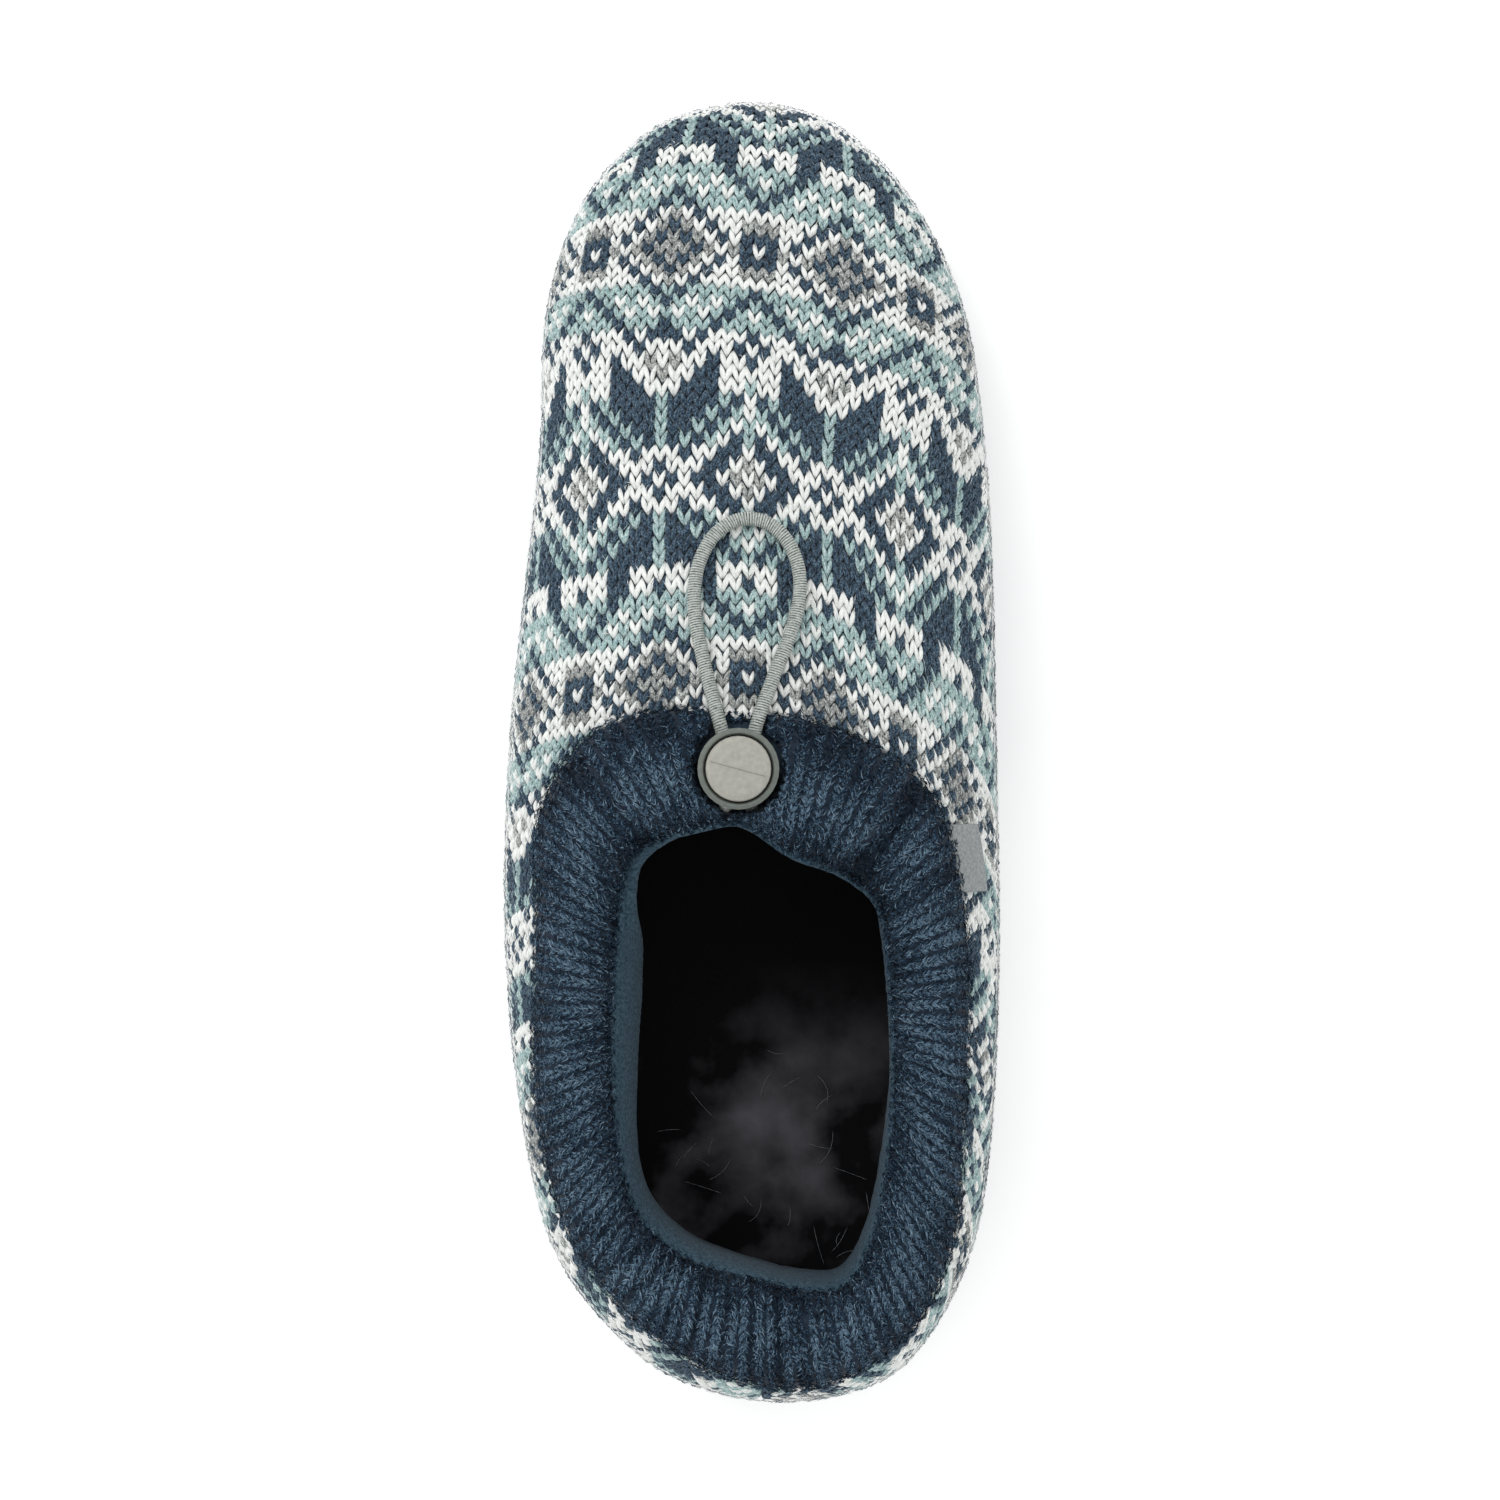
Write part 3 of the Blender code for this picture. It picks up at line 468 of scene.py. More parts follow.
def makeMesh(name, points, quads=(), tris=()):
    quads = np.asarray(quads, dtype=np.int32).reshape(-1, 4)
    tris = np.asarray(tris, dtype=np.int32).reshape(-1, 3)
    mesh = bpy.data.meshes.new(name)
    mesh.vertices.add(len(points))
    mesh.vertices.foreach_set("co", np.asarray(points, dtype=np.float32).ravel())
    mesh.loops.add(quads.size + tris.size)
    mesh.loops.foreach_set("vertex_index", np.concatenate([quads.ravel(), tris.ravel()]))
    mesh.polygons.add(len(quads) + len(tris))
    starts = np.concatenate([np.arange(len(quads)) * 4, quads.size + np.arange(len(tris)) * 3])
    mesh.polygons.foreach_set("loop_start", starts.astype(np.int32))
    mesh.update(calc_edges=True)
    mesh.shade_smooth()
    return mesh


def addVectors(mesh, name, values):
    attribute = mesh.attributes.new(name, "FLOAT_VECTOR", "POINT")
    attribute.data.foreach_set("vector", np.asarray(values, dtype=np.float32).ravel())


# a point attribute of painted highlights and painted shade, and on the collar random patches of
# tone, that the yarn shader adds to its colour
def addPaintedLightTone(mesh, values):
    attribute = mesh.attributes.new("paintedLightTone", "FLOAT", "POINT")
    attribute.data.foreach_set("value", np.asarray(values, dtype=np.float32))


def addPiece(name, mesh, material, body="slipper"):
    made = bpy.data.objects.new(name, mesh)
    bpy.context.collection.objects.link(made)
    for each in material if isinstance(material, (list, tuple)) else [material]:
        mesh.materials.append(each)
    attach(made, body)
    return made


def legMiddle(a):
    # how far a leg's middle line stands from the wale's centre, in columns
    return 0.075 + 0.365 * a**0.95


def legForm(style):
    # one leg of a stitch, as rows of column, row, height, along and around
    rings, sides = style["legRings"], style["legSides"]
    rows = []
    turns = np.radians(np.arange(sides) * 360 / sides + 90)
    for a in rings:
        taper = math.sin(math.pi * (0.06 + 0.86 * a)) ** 0.75
        middle = legMiddle(a)
        sunk = 1 + 0.95 * (1 - math.sin(math.pi * a) ** 0.8)
        height = style["proud"] - style["halfHeight"] * sunk
        for turn in turns:
            rows.append((
                middle + style["halfWidth"] * taper * math.cos(turn),
                mix(style["armRise"], -style["armRise"], a) - 0.06 * math.cos(turn),
                height + style["halfHeight"] * taper * math.sin(turn),
                a,
                math.cos(turn),
            ))
    deep = style["proud"] - 1.9 * style["halfHeight"]
    rows.append((0.03, style["armRise"] + style["point"], deep, 0.0, 0.0))
    rows.append((0.46, -style["armRise"] - style["point"], deep, 1.0, 0.0))
    return np.array(rows)


def legFaces(rings, sides):
    quads, tris = [], []
    for ring in range(rings - 1):
        for k in range(sides):
            a, b = ring * sides + k, ring * sides + (k + 1) % sides
            quads.append((a, b, b + sides, a + sides))
    tip, end = rings * sides, rings * sides + 1
    for k in range(sides):
        tris.append((tip, (k + 1) % sides, k))
        tris.append((end, (rings - 1) * sides + k, (rings - 1) * sides + (k + 1) % sides))
    return np.array(quads), np.array(tris)


def stitchMesh(name, place, columns, rows, style, fill=1.0, paintedLightTone=None):
    # both legs of every stitch, bent onto the surface that place gives
    form = legForm(style)
    a = form[None, :, 3]
    middles = legMiddle(a)
    quads, tris = legFaces(len(style["legRings"]), style["legSides"])
    count, size = len(columns), len(form)
    allPoints, allStrands, allQuads, allTris, allTones = [], [], [], [], []
    for side in (-1, 1):
        jitter = rng.normal(0, style["jitter"], (count, 4))
        wide = 1 + jitter[:, 0, None] * 1.2
        spread = (form[None, :, 0] - middles) * fill + middles
        c = columns[:, None] + side * (spread * wide) + jitter[:, 1, None] * 0.5
        r = rows[:, None] + form[None, :, 1] + jitter[:, 2, None] * 0.6
        h = form[None, :, 2] + jitter[:, 3, None] * 0.0012 * (a * (1 - a))
        points, normals = withNormals(place, c.ravel(), r.ravel())
        h = h - style.get("valley", 0.0) * (2 * form[None, :, 0]) ** 2
        points = points + normals * h.ravel()[:, None]
        if paintedLightTone:
            allTones.append(paintedLightTone(c.ravel(), r.ravel()))
        number = np.repeat(rng.random(count) * 100, size)
        strand = np.stack([
            np.tile(form[:, 3], count), np.tile(form[:, 4], count) * side, number,
        ], axis=1)
        base = (len(allPoints) * count + np.arange(count)) * size
        faces, ends = (quads, tris) if side > 0 else (quads[:, ::-1], tris[:, ::-1])
        allQuads.append((base[:, None, None] + faces[None]).reshape(-1, 4))
        allTris.append((base[:, None, None] + ends[None]).reshape(-1, 3))
        allPoints.append(points)
        allStrands.append(strand)
    mesh = makeMesh(name, np.vstack(allPoints), np.vstack(allQuads), np.vstack(allTris))
    addVectors(mesh, "strand", np.vstack(allStrands))
    if paintedLightTone:
        addPaintedLightTone(mesh, np.concatenate(allTones))
    return mesh


def fibreMesh(name, spines, radius, numbers):
    # closed slivers, pointed at both ends, three-sided between
    count, stations = spines.shape[:2]
    ahead = np.gradient(spines, axis=1)
    ahead /= np.maximum(np.linalg.norm(ahead, axis=2), 1e-12)[..., None]
    side = np.cross(ahead, (0.35, 0.2, 0.9))
    side /= np.maximum(np.linalg.norm(side, axis=2), 1e-12)[..., None]
    up = np.cross(side, ahead)
    inner = stations - 2
    rings = []
    for turn in np.radians((90, 210, 330)):
        rings.append(spines + (side * math.cos(turn) + up * math.sin(turn)) * radius[:, None, None])
    rings = np.stack(rings, axis=2)[:, 1:-1].reshape(count, inner * 3, 3)
    points = np.concatenate([rings, spines[:, :1], spines[:, -1:]], axis=1)
    quads, tris = legFaces(inner, 3)
    base = np.arange(count)[:, None, None] * (inner * 3 + 2)
    quads = (base + quads.reshape(-1, 4)[None]).reshape(-1, 4)
    tris = (base + tris[None]).reshape(-1, 3)
    mesh = makeMesh(name, points.reshape(-1, 3), quads[:, ::-1], tris[:, ::-1])
    along = np.concatenate([np.repeat(np.arange(inner) / max(inner, 1), 3), [0, 1]])
    strand = np.stack([
        np.tile(along, count), np.zeros(count * len(along)), np.repeat(numbers, len(along)),
    ], axis=1)
    addVectors(mesh, "strand", strand)
    return mesh


def looseFibres(name, place, c, r, style, pitches, paintedLightTone=None):
    # short fibres that lie over the stitches, mostly along their legs
    count = len(c)
    off = (c - style["middle"] + 0.5) % 1 - 0.5
    turn = -np.sign(off) * np.radians(rng.normal(style["turn"], style["spread"], count))
    length = rng.uniform(*style["length"], count)
    bend = rng.normal(0, style["bend"], count) * length
    lift = rng.uniform(*style["lift"], count)
    spines = []
    for share in np.linspace(0, 1, style["stations"]):
        along = (share - 0.5) * length
        sideways = bend * 4 * share * (1 - share)
        x = np.sin(turn) * along + np.cos(turn) * sideways
        y = np.cos(turn) * along - np.sin(turn) * sideways
        points, normals = withNormals(place, c + x / pitches[0], r + y / pitches[1])
        height = style["base"] + lift * (4 * share * (1 - share)) ** 0.7
        height = height - style["valley"] * (2 * off) ** 2
        spines.append(points + normals * height[:, None])
    radius = rng.uniform(*style["radius"], count)
    mesh = fibreMesh(name, np.stack(spines, axis=1), radius, rng.random(count) * 100)
    if paintedLightTone:
        addPaintedLightTone(mesh, np.repeat(paintedLightTone(c, r), len(mesh.vertices) // count))
    return mesh


# Materials
def newGroup(name, inputs, outputs):
    group = bpy.data.node_groups.new(name, "ShaderNodeTree")
    for label, kind, value in inputs:
        socket = group.interface.new_socket(label, in_out="INPUT", socket_type=kind)
        socket.default_value = value
    for label, kind in outputs:
        group.interface.new_socket(label, in_out="OUTPUT", socket_type=kind)
    start = group.nodes.new("NodeGroupInput")
    end = group.nodes.new("NodeGroupOutput")
    return group, start, end


def addNode(tree, kind, **values):
    node = tree.nodes.new(kind)
    for name, value in values.items():
        setattr(node, name, value)
    return node


def scaled(tree, vector, factors):
    node = addNode(tree, "ShaderNodeVectorMath", operation="MULTIPLY")
    tree.links.new(vector, node.inputs[0])
    node.inputs[1].default_value = factors
    return node.outputs[0]


def woolGroup():
    # heathered yarn: streaks along each leg and flecks, plus a point attribute of painted
    # highlights, painted shade and slow patches over the cloth
    group, start, end = newGroup(
        "woolFibres",
        [
            ("Dark", "NodeSocketColor", (0.01, 0.02, 0.04, 1)),
            ("Middle", "NodeSocketColor", (0.03, 0.06, 0.11, 1)),
            ("Light", "NodeSocketColor", (0.12, 0.18, 0.24, 1)),
            ("Streaks", "NodeSocketFloat", 1.0),
            ("Flecks", "NodeSocketFloat", 0.5),
        ],
        [("Color", "NodeSocketColor"), ("Height", "NodeSocketFloat")],
    )
    link = group.links.new
    strand = addNode(group, "ShaderNodeAttribute", attribute_name="strand")
    streak = addNode(group, "ShaderNodeTexNoise", noise_dimensions="3D")
    streak.inputs["Scale"].default_value = 1.0
    streak.inputs["Detail"].default_value = 3.0
    link(scaled(group, strand.outputs["Vector"], (2.6, 3.4, 7.7)), streak.inputs["Vector"])
    place = addNode(group, "ShaderNodeTexCoord")
    fleck = addNode(group, "ShaderNodeTexNoise")
    fleck.inputs["Scale"].default_value = 2600.0
    fleck.inputs["Detail"].default_value = 2.0
    link(place.outputs["Object"], fleck.inputs["Vector"])
    both = addNode(group, "ShaderNodeMath", operation="SUBTRACT")
    link(fleck.outputs["Fac"], both.inputs[0])
    both.inputs[1].default_value = 0.5
    more = addNode(group, "ShaderNodeMath", operation="MULTIPLY_ADD")
    link(both.outputs[0], more.inputs[0])
    link(start.outputs["Flecks"], more.inputs[1])
    spread = addNode(group, "ShaderNodeMath", operation="SUBTRACT")
    link(streak.outputs["Fac"], spread.inputs[0])
    spread.inputs[1].default_value = 0.5
    wide = addNode(group, "ShaderNodeMath", operation="MULTIPLY_ADD")
    link(spread.outputs[0], wide.inputs[0])
    link(start.outputs["Streaks"], wide.inputs[1])
    wide.inputs[2].default_value = 0.5
    link(wide.outputs[0], more.inputs[2])
    paintedLightTone = addNode(group, "ShaderNodeAttribute", attribute_name="paintedLightTone")
    toned = addNode(group, "ShaderNodeMath", operation="ADD")
    link(more.outputs[0], toned.inputs[0])
    link(paintedLightTone.outputs["Fac"], toned.inputs[1])
    low = addNode(group, "ShaderNodeMapRange")
    low.inputs["From Min"].default_value = 0.20
    low.inputs["From Max"].default_value = 0.50
    high = addNode(group, "ShaderNodeMapRange")
    high.inputs["From Min"].default_value = 0.52
    high.inputs["From Max"].default_value = 0.85
    link(toned.outputs[0], low.inputs["Value"])
    link(toned.outputs[0], high.inputs["Value"])
    first = addNode(group, "ShaderNodeMix", data_type="RGBA")
    second = addNode(group, "ShaderNodeMix", data_type="RGBA")
    link(low.outputs["Result"], first.inputs["Factor"])
    link(start.outputs["Dark"], first.inputs["A"])
    link(start.outputs["Middle"], first.inputs["B"])
    link(high.outputs["Result"], second.inputs["Factor"])
    link(first.outputs["Result"], second.inputs["A"])
    link(start.outputs["Light"], second.inputs["B"])
    link(second.outputs["Result"], end.inputs["Color"])
    link(more.outputs[0], end.inputs["Height"])
    return group


def colour(*levels):
    # 0 to 255 display levels to scene colour
    made = []
    for level in levels:
        share = level / 255
        made.append(share / 12.92 if share <= 0.04045 else ((share + 0.055) / 1.055) ** 2.4)
    return (*made, 1.0)


def newMaterial(name, roughness, sheen=0.0, specular=0.3):
    made = bpy.data.materials.new(name)
    made.use_nodes = True
    shader = made.node_tree.nodes["Principled BSDF"]
    shader.inputs["Roughness"].default_value = roughness
    shader.inputs["Sheen Weight"].default_value = sheen
    shader.inputs["Sheen Roughness"].default_value = 0.6
    shader.inputs["Specular IOR Level"].default_value = specular
    return made, made.node_tree, shader


def bumpFrom(tree, shader, height, strength, distance):
    bump = addNode(tree, "ShaderNodeBump")
    bump.inputs["Strength"].default_value = strength
    bump.inputs["Distance"].default_value = distance
    tree.links.new(height, bump.inputs["Height"])
    tree.links.new(bump.outputs["Normal"], shader.inputs["Normal"])


wool = woolGroup()


def woolMaterial(name, dark, middle, light, streaks=1.0, flecks=0.6, sheen=0.15):
    made, tree, shader = newMaterial(name, 0.95, sheen, 0.15)
    group = addNode(tree, "ShaderNodeGroup", node_tree=wool)
    group.inputs["Dark"].default_value = dark
    group.inputs["Middle"].default_value = middle
    group.inputs["Light"].default_value = light
    group.inputs["Streaks"].default_value = streaks
    group.inputs["Flecks"].default_value = flecks
    tree.links.new(group.outputs["Color"], shader.inputs["Base Color"])
    bumpFrom(tree, shader, group.outputs["Height"], 0.6, 0.00025)
    return made


woolTints = {  # dark, middle and light fibres of each yarn, display levels
    "N": ("knitNavy", (16, 34, 50), (50, 72, 92), (104, 128, 144), 1.5, 1.9),
    "W": ("knitIvory", (214, 219, 216), (247, 249, 246), (255, 255, 253), 1.0, 0.8),
    "T": ("knitTeal", (118, 150, 152), (172, 199, 199), (222, 236, 233), 1.6, 1.5),
    "G": ("knitGrey", (108, 112, 112), (162, 166, 164), (224, 227, 223), 1.8, 2.0),
}
yarns = {
    key: woolMaterial(name, colour(*dark), colour(*middle), colour(*light), streaks, flecks)
    for key, (name, dark, middle, light, streaks, flecks) in woolTints.items()
}
collarYarn = woolMaterial(
    "collarYarn", colour(2, 12, 26), colour(38, 62, 84), colour(100, 126, 146), 1.6, 2.0, 0.05
)
collarHair = woolMaterial(
    "collarHair", colour(4, 18, 34), colour(50, 76, 98), colour(138, 164, 184), 3.4, 0.6, 0.0
)
print("stage: materials")


# Collar roll
collar = {
    "power": 2.4,
    "columnPitch": 0.0029,
    "rowPitch": 0.0019,
    "halfWidth": 0.262,
    "halfHeight": 0.00042,
    "proud": 0.00010,
    "armRise": 0.70,
    "point": 0.14,
    "jitter": 0.06,
    "valley": 0.0008,        # how far the gaps between the wales lie below them
    "legRings": (0.12, 0.38, 0.66, 0.90),
    "legSides": 5,
    "fineness": 6,           # stations of the measured roll for each wale
    "padRows": (-13.0, 15.5, 60),
    "padSunk": 0.0006,
    "stitchRows": (-14, 9),
    "clearOfLock": 0.0080,
}
collarFuzz = {
    "count": 19000, "middle": 0.5, "valley": 0.0010,
    "turn": 30, "spread": 17,
    "length": (0.0016, 0.0034), "bend": 0.12,
    "base": 0.00030, "lift": (0.0001, 0.0006),
    "radius": (0.00007, 0.00013), "stations": 3,
    "rows": (-11.5, 8.5), "clearOfLock": 0.0098,
}
lock = {
    "x": -0.0026,
    "y": -0.0039,
    "floor": 0.0662,
    "cordAbove": 0.0060,  # the strands' height over the pocket's floor
    "pocket": 0.0090,
    "trough": 0.0062,     # half the width that both strands need
}
creases = (  # start x y, end x y, depth and half width, millimetres
    (20.7, -26.2, 33.0, -9.0, 3.2, 2.8),
    (-21.5, -18.0, -38.5, -1.5, 1.8, 2.2),
    (-5.0, -11.6, -5.3, -15.6, 3.5, 0.7),
    (27.0, -33.0, 42.0, -24.0, 1.4, 1.8),
    (9.0, -109.0, 11.0, -128.0, 1.5, 0.8),
    (5.0, -108.0, 5.5, -129.0, 1.8, 0.9),
    (0.5, -107.5, 0.0, -129.0, 1.3, 0.8),
    (-4.0, -106.5, -6.0, -127.0, 1.1, 0.8),
    (13.5, -110.5, 18.0, -127.0, 1.1, 0.8),
    (-9.0, -105.5, -13.5, -125.0, 1.2, 0.8),
    (-19.5, -99.0, -31.0, -106.0, 1.4, 0.9),
    (-16.5, -102.0, -27.0, -113.0, 1.5, 0.9),
    (-22.5, -95.0, -36.0, -99.0, 1.1, 0.9),
    (19.0, -108.0, 29.0, -120.0, 1.0, 0.9),
)


def rollValue(name, angle):
    column = rollColumns.index(name)
    middle = (rollRows[:, :2] + rollRows[:, 2:4]) / 2 * mm - np.array(last["centre"])
    turns = np.arctan2(middle[:, 0], middle[:, 1]) % math.tau
    order = np.argsort(turns)
    turns = turns[order]
    values = rollRows[order, column]
    angle = np.asarray(angle) % math.tau
    count = len(values)
    spot = np.searchsorted(turns, angle, side="right") - 1
    v = [values[(spot + k) % count] for k in (-1, 0, 1, 2)]
    span = (turns[(spot + 1) % count] - turns[spot % count]) % math.tau
    t = ((angle - turns[spot % count]) % math.tau) / span
    slope, nextSlope = (v[2] - v[0]) / 2, (v[3] - v[1]) / 2
    return cubic(v[1], v[2], slope, nextSlope, t)


seamCurve = closedCurve(rollRows[:, 0:2] * mm, 12)
mouthCurve = closedCurve(rollRows[:, 2:4] * mm, 12)


def rollSection(angles, turns):
    # points of the roll: one row an angle, one column a turn (0 outer side, 90 top, 180 mouth)
    centre = np.array(last["centre"])
    seam = radiusAbout(seamCurve, centre, angles)[:, None]
    mouth = radiusAbout(mouthCurve, centre, angles)[:, None]
    mouthZ = rollValue("mouthZ", angles)[:, None] * mm
    crestZ = rollValue("crestZ", angles)[:, None] * mm
    underZ = rollValue("underZ", angles)[:, None] * mm
    way = np.stack([np.sin(angles), np.cos(angles)], axis=1)
    edge = centre + way * seam
    seamZ = domeHeight(edge[:, 0], edge[:, 1])[:, None]
    top = mix(mouth, seam, rollValue("crest", angles)[:, None])
    c, s = np.cos(turns)[None], np.sin(turns)[None]
    power = np.where(s > 0, 2 / collar["power"], 0.9)
    across = np.sign(c) * np.abs(c) ** power
    upward = np.sign(s) * np.abs(s) ** power
    radius = top + across * np.where(c > 0, seam - top, top - mouth)
    level = mix(mouthZ, seamZ, (radius - mouth) / (seam - mouth))
    height = level + upward * np.where(s > 0, crestZ - level, level - underZ)
    x = centre[0] + way[:, 0:1] * radius
    y = centre[1] + way[:, 1:2] * radius
    return np.stack([x, y, height], axis=2)


def creaseDepth(x, y):
    sunk = np.zeros(len(x))
    for x0, y0, x1, y1, depth, wide in creases:
        start, end = np.array([x0, y0]) * mm, np.array([x1, y1]) * mm
        ahead = end - start
        share = ((x - start[0]) * ahead[0] + (y - start[1]) * ahead[1]) / (ahead @ ahead)
        near = np.clip(share, 0, 1)
        off = np.hypot(x - start[0] - near * ahead[0], y - start[1] - near * ahead[1])
        sunk += depth * mm * np.exp(-((off / (wide * mm)) ** 2))
    return sunk


def dented(points):
    # the lock's pocket, the strands' trough, and the listed creases
    x, y, z = points[:, 0].copy(), points[:, 1].copy(), points[:, 2].copy()
    away = np.hypot(x - lock["x"], y - lock["y"])
    floor = lock["floor"] - 0.0008
    z = mix(z, np.minimum(z, floor), smooth((lock["pocket"] - away) / 0.0007))
    trough = smooth((lock["trough"] - np.abs(x - lock["x"])) / 0.0016)
    trough = trough * smooth((y - lock["y"]) / 0.002)
    cordLow = lock["floor"] + lock["cordAbove"] - 0.0014 - 0.0004
    z = mix(z, np.minimum(z, cordLow), trough)
    z = z - creaseDepth(x, y) * (z > 0.05)
    return np.stack([x, y, z], axis=1)


def buildRollTable():
    fine = np.linspace(0, math.tau, 2881)[:-1]
    middle = (
        radiusAbout(seamCurve, last["centre"], fine) + radiusAbout(mouthCurve, last["centre"], fine)
    ) / 2
    plan = np.stack([np.sin(fine), np.cos(fine)], axis=1) * middle[:, None]
    gaps = np.linalg.norm(np.roll(plan, -1, axis=0) - plan, axis=1)
    runs = np.concatenate([[0.0], np.cumsum(gaps)])
    count = round(runs[-1] / collar["columnPitch"])
    stations = np.arange(count * collar["fineness"] + 1) / collar["fineness"]
    angles = np.interp(stations / count * runs[-1], runs, np.append(fine, math.tau))
    turns = np.radians(np.linspace(-40, 250, 291))
    sections = rollSection(angles % math.tau, turns)
    step = 0.00025
    marks = np.arange(-0.030, 0.034, step)
    table = np.empty((len(stations), len(marks), 3))
    crest = int(np.argmin(np.abs(turns - math.pi / 2)))
    lengths = []
    for k, section in enumerate(sections):
        arcs = runAlong(section)
        arcs -= arcs[crest]
        lengths.append((arcs[0], arcs[-1]))
        for axis in range(3):
            table[k, :, axis] = np.interp(marks, arcs, section[:, axis])
    return {
        "table": table, "count": count, "step": step, "first": marks[0],
        "lengths": np.array(lengths),  # from the crest to both ends of each section
    }


roll = buildRollTable()


def collarAt(c, r):
    # c counts wales clockwise from the front, r rows from the crest, out is negative
    row = (c % roll["count"]) * collar["fineness"]
    column = (r * collar["rowPitch"] - roll["first"]) / roll["step"]
    return dented(between(roll["table"], row, column))


def gridFaces(rows, columns, wrapRows=False, wrapColumns=False):
    i = np.arange(rows if wrapRows else rows - 1)
    j = np.arange(columns if wrapColumns else columns - 1)
    a, b = np.meshgrid(i, j, indexing="ij")
    a, b = a.ravel(), b.ravel()
    up, over = (a + 1) % rows, (b + 1) % columns
    corners = (a * columns + b, a * columns + over, up * columns + over, up * columns + b)
    return np.stack(corners, axis=1)


# Drawcord, first of the pieces
drawcord = {
    "diameter": 0.0028,
    "strands": ((2.5, -12.9, 0.0), (2.5, -8.0, 0.0), (2.5, -4.0, 0.0), (2.6, 0.0, 0.0),
                (3.2, 3.2, 0.1), (4.1, 6.4, 0.0)),
    "loop": ((-8.0, 11.4), (-9.8, 18.5), (-11.1, 25.0), (-11.5, 31.0), (-10.6, 37.0),
             (-7.9, 42.4), (-3.8, 45.6), (0.6, 46.2), (4.8, 44.4), (8.0, 40.3), (9.6, 35.0),
             (9.4, 29.0), (7.6, 22.5), (5.2, 16.5), (3.2, 11.2)),
    "ridgePitch": 0.00052,
    "ridgeHeight": 0.00011,
    "sides": 12,
    # how much the colour is lightened on the ridges and darkened in the grooves between them:
    # painted highlight and painted shade
    "paintedRidgeLight": 0.75,
    "dip": 0.0048, "dipLength": 0.0030, "endTaper": 0.85,
}


def cordRoute():
    height = lock["floor"] + lock["cordAbove"]
    inner = [(lock["x"] - out * mm, y * mm, height + up * mm) for out, y, up in drawcord["strands"]]
    outer = [(lock["x"] + out * mm, y * mm, height + up * mm) for out, y, up in drawcord["strands"]]
    rest = drawcord["diameter"] / 2 + 0.0004
    loop = [(x * mm, y * mm, float(domeHeight(np.array(x * mm), np.array(y * mm))) + rest)
            for x, y in drawcord["loop"]]
    knots = np.array(inner + loop + outer[::-1])
    made = []
    for i in range(len(knots) - 1):
        k = [min(max(j, 0), len(knots) - 1) for j in (i - 1, i, i + 1, i + 2)]
        before, start, end, after = knots[k]
        slope, nextSlope = (end - before) / 2, (after - start) / 2
        for t in np.arange(12) / 12:
            made.append(cubic(start, end, slope, nextSlope, t))
    made.append(knots[-1])
    return np.array(made)


def resample(points, count):
    arcs = runAlong(points)
    marks = np.linspace(0, arcs[-1], count)
    return np.stack([np.interp(marks, arcs, points[:, k]) for k in range(3)], axis=1), arcs[-1]


def tube(path, radii, sides):
    # rings of points round a path that mostly lies level
    ahead = np.gradient(path, axis=0)
    ahead /= np.linalg.norm(ahead, axis=1)[:, None]
    side = np.cross(ahead, (0.0, 0.0, 1.0))
    side /= np.linalg.norm(side, axis=1)[:, None]
    up = np.cross(side, ahead)
    turns = np.arange(sides) / sides * math.tau
    ring = side[:, None] * np.cos(turns)[None, :, None]
    ring = ring + up[:, None] * np.sin(turns)[None, :, None]
    return (path[:, None] + ring * radii[..., None]).reshape(-1, 3)


def buildDrawcord(material):
    sides = drawcord["sides"]
    coarse, length = resample(cordRoute(), 400)
    fromEnd = np.minimum(np.linspace(0, length, 400), np.linspace(length, 0, 400))
    dip = 1 - smooth(fromEnd / drawcord["dipLength"])
    coarse[:, 2] -= drawcord["dip"] * dip
    count = int(length / drawcord["ridgePitch"] * 3)
    path, length = resample(coarse, count)
    along = np.linspace(0, length, count)[:, None]
    around = (np.arange(sides) / sides)[None]
    phase = along / drawcord["ridgePitch"] + around
    slow = 1 + 0.02 * np.sin(along / 0.0013 * 2.1) * np.cos(around * math.tau * 2 + along / 0.004)
    radii = (drawcord["diameter"] / 2 - drawcord["ridgeHeight"]) * slow
    radii = radii + drawcord["ridgeHeight"] * np.abs(np.sin(phase * math.pi)) ** 0.7
    ends = np.minimum(along, length - along)
    radii = radii * (1 - drawcord["endTaper"] * (1 - smooth(ends / drawcord["dipLength"])))
    points = tube(path, radii, sides)
    quads = gridFaces(count, sides, wrapColumns=True)
    first, final = path[0], path[-1]
    points = np.vstack([points, first, final])
    start = [(len(points) - 2, k, (k + 1) % sides) for k in range(sides)]
    base = (count - 1) * sides
    end = [(len(points) - 1, base + (k + 1) % sides, base + k) for k in range(sides)]
    mesh = makeMesh("drawcordBraid", points, quads[:, ::-1], np.array(start + end))
    strand = np.stack([
        np.repeat(along.ravel() / drawcord["ridgePitch"], sides),
        np.tile(around.ravel(), count),
        np.zeros(count * sides),
    ], axis=1)
    addVectors(mesh, "strand", np.vstack([strand, strand[:1], strand[-1:]]))
    # painted highlight on the ridges and painted shade in the grooves, following the ridges' own
    # shape
    ridge = drawcord["paintedRidgeLight"] * (np.abs(np.sin(phase * math.pi)) - 0.6)
    addPaintedLightTone(mesh, np.append(ridge.ravel(), (0, 0)))
    made = addPiece("drawcord_braid", mesh, material)
    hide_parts("drawcord")


cordMaterial = woolMaterial(
    "braidedElastic", colour(64, 72, 70), colour(150, 157, 153), colour(208, 212, 207),
    0.8, 0.6, 0.0,
)
buildDrawcord(cordMaterial)
print("stage: drawcord")


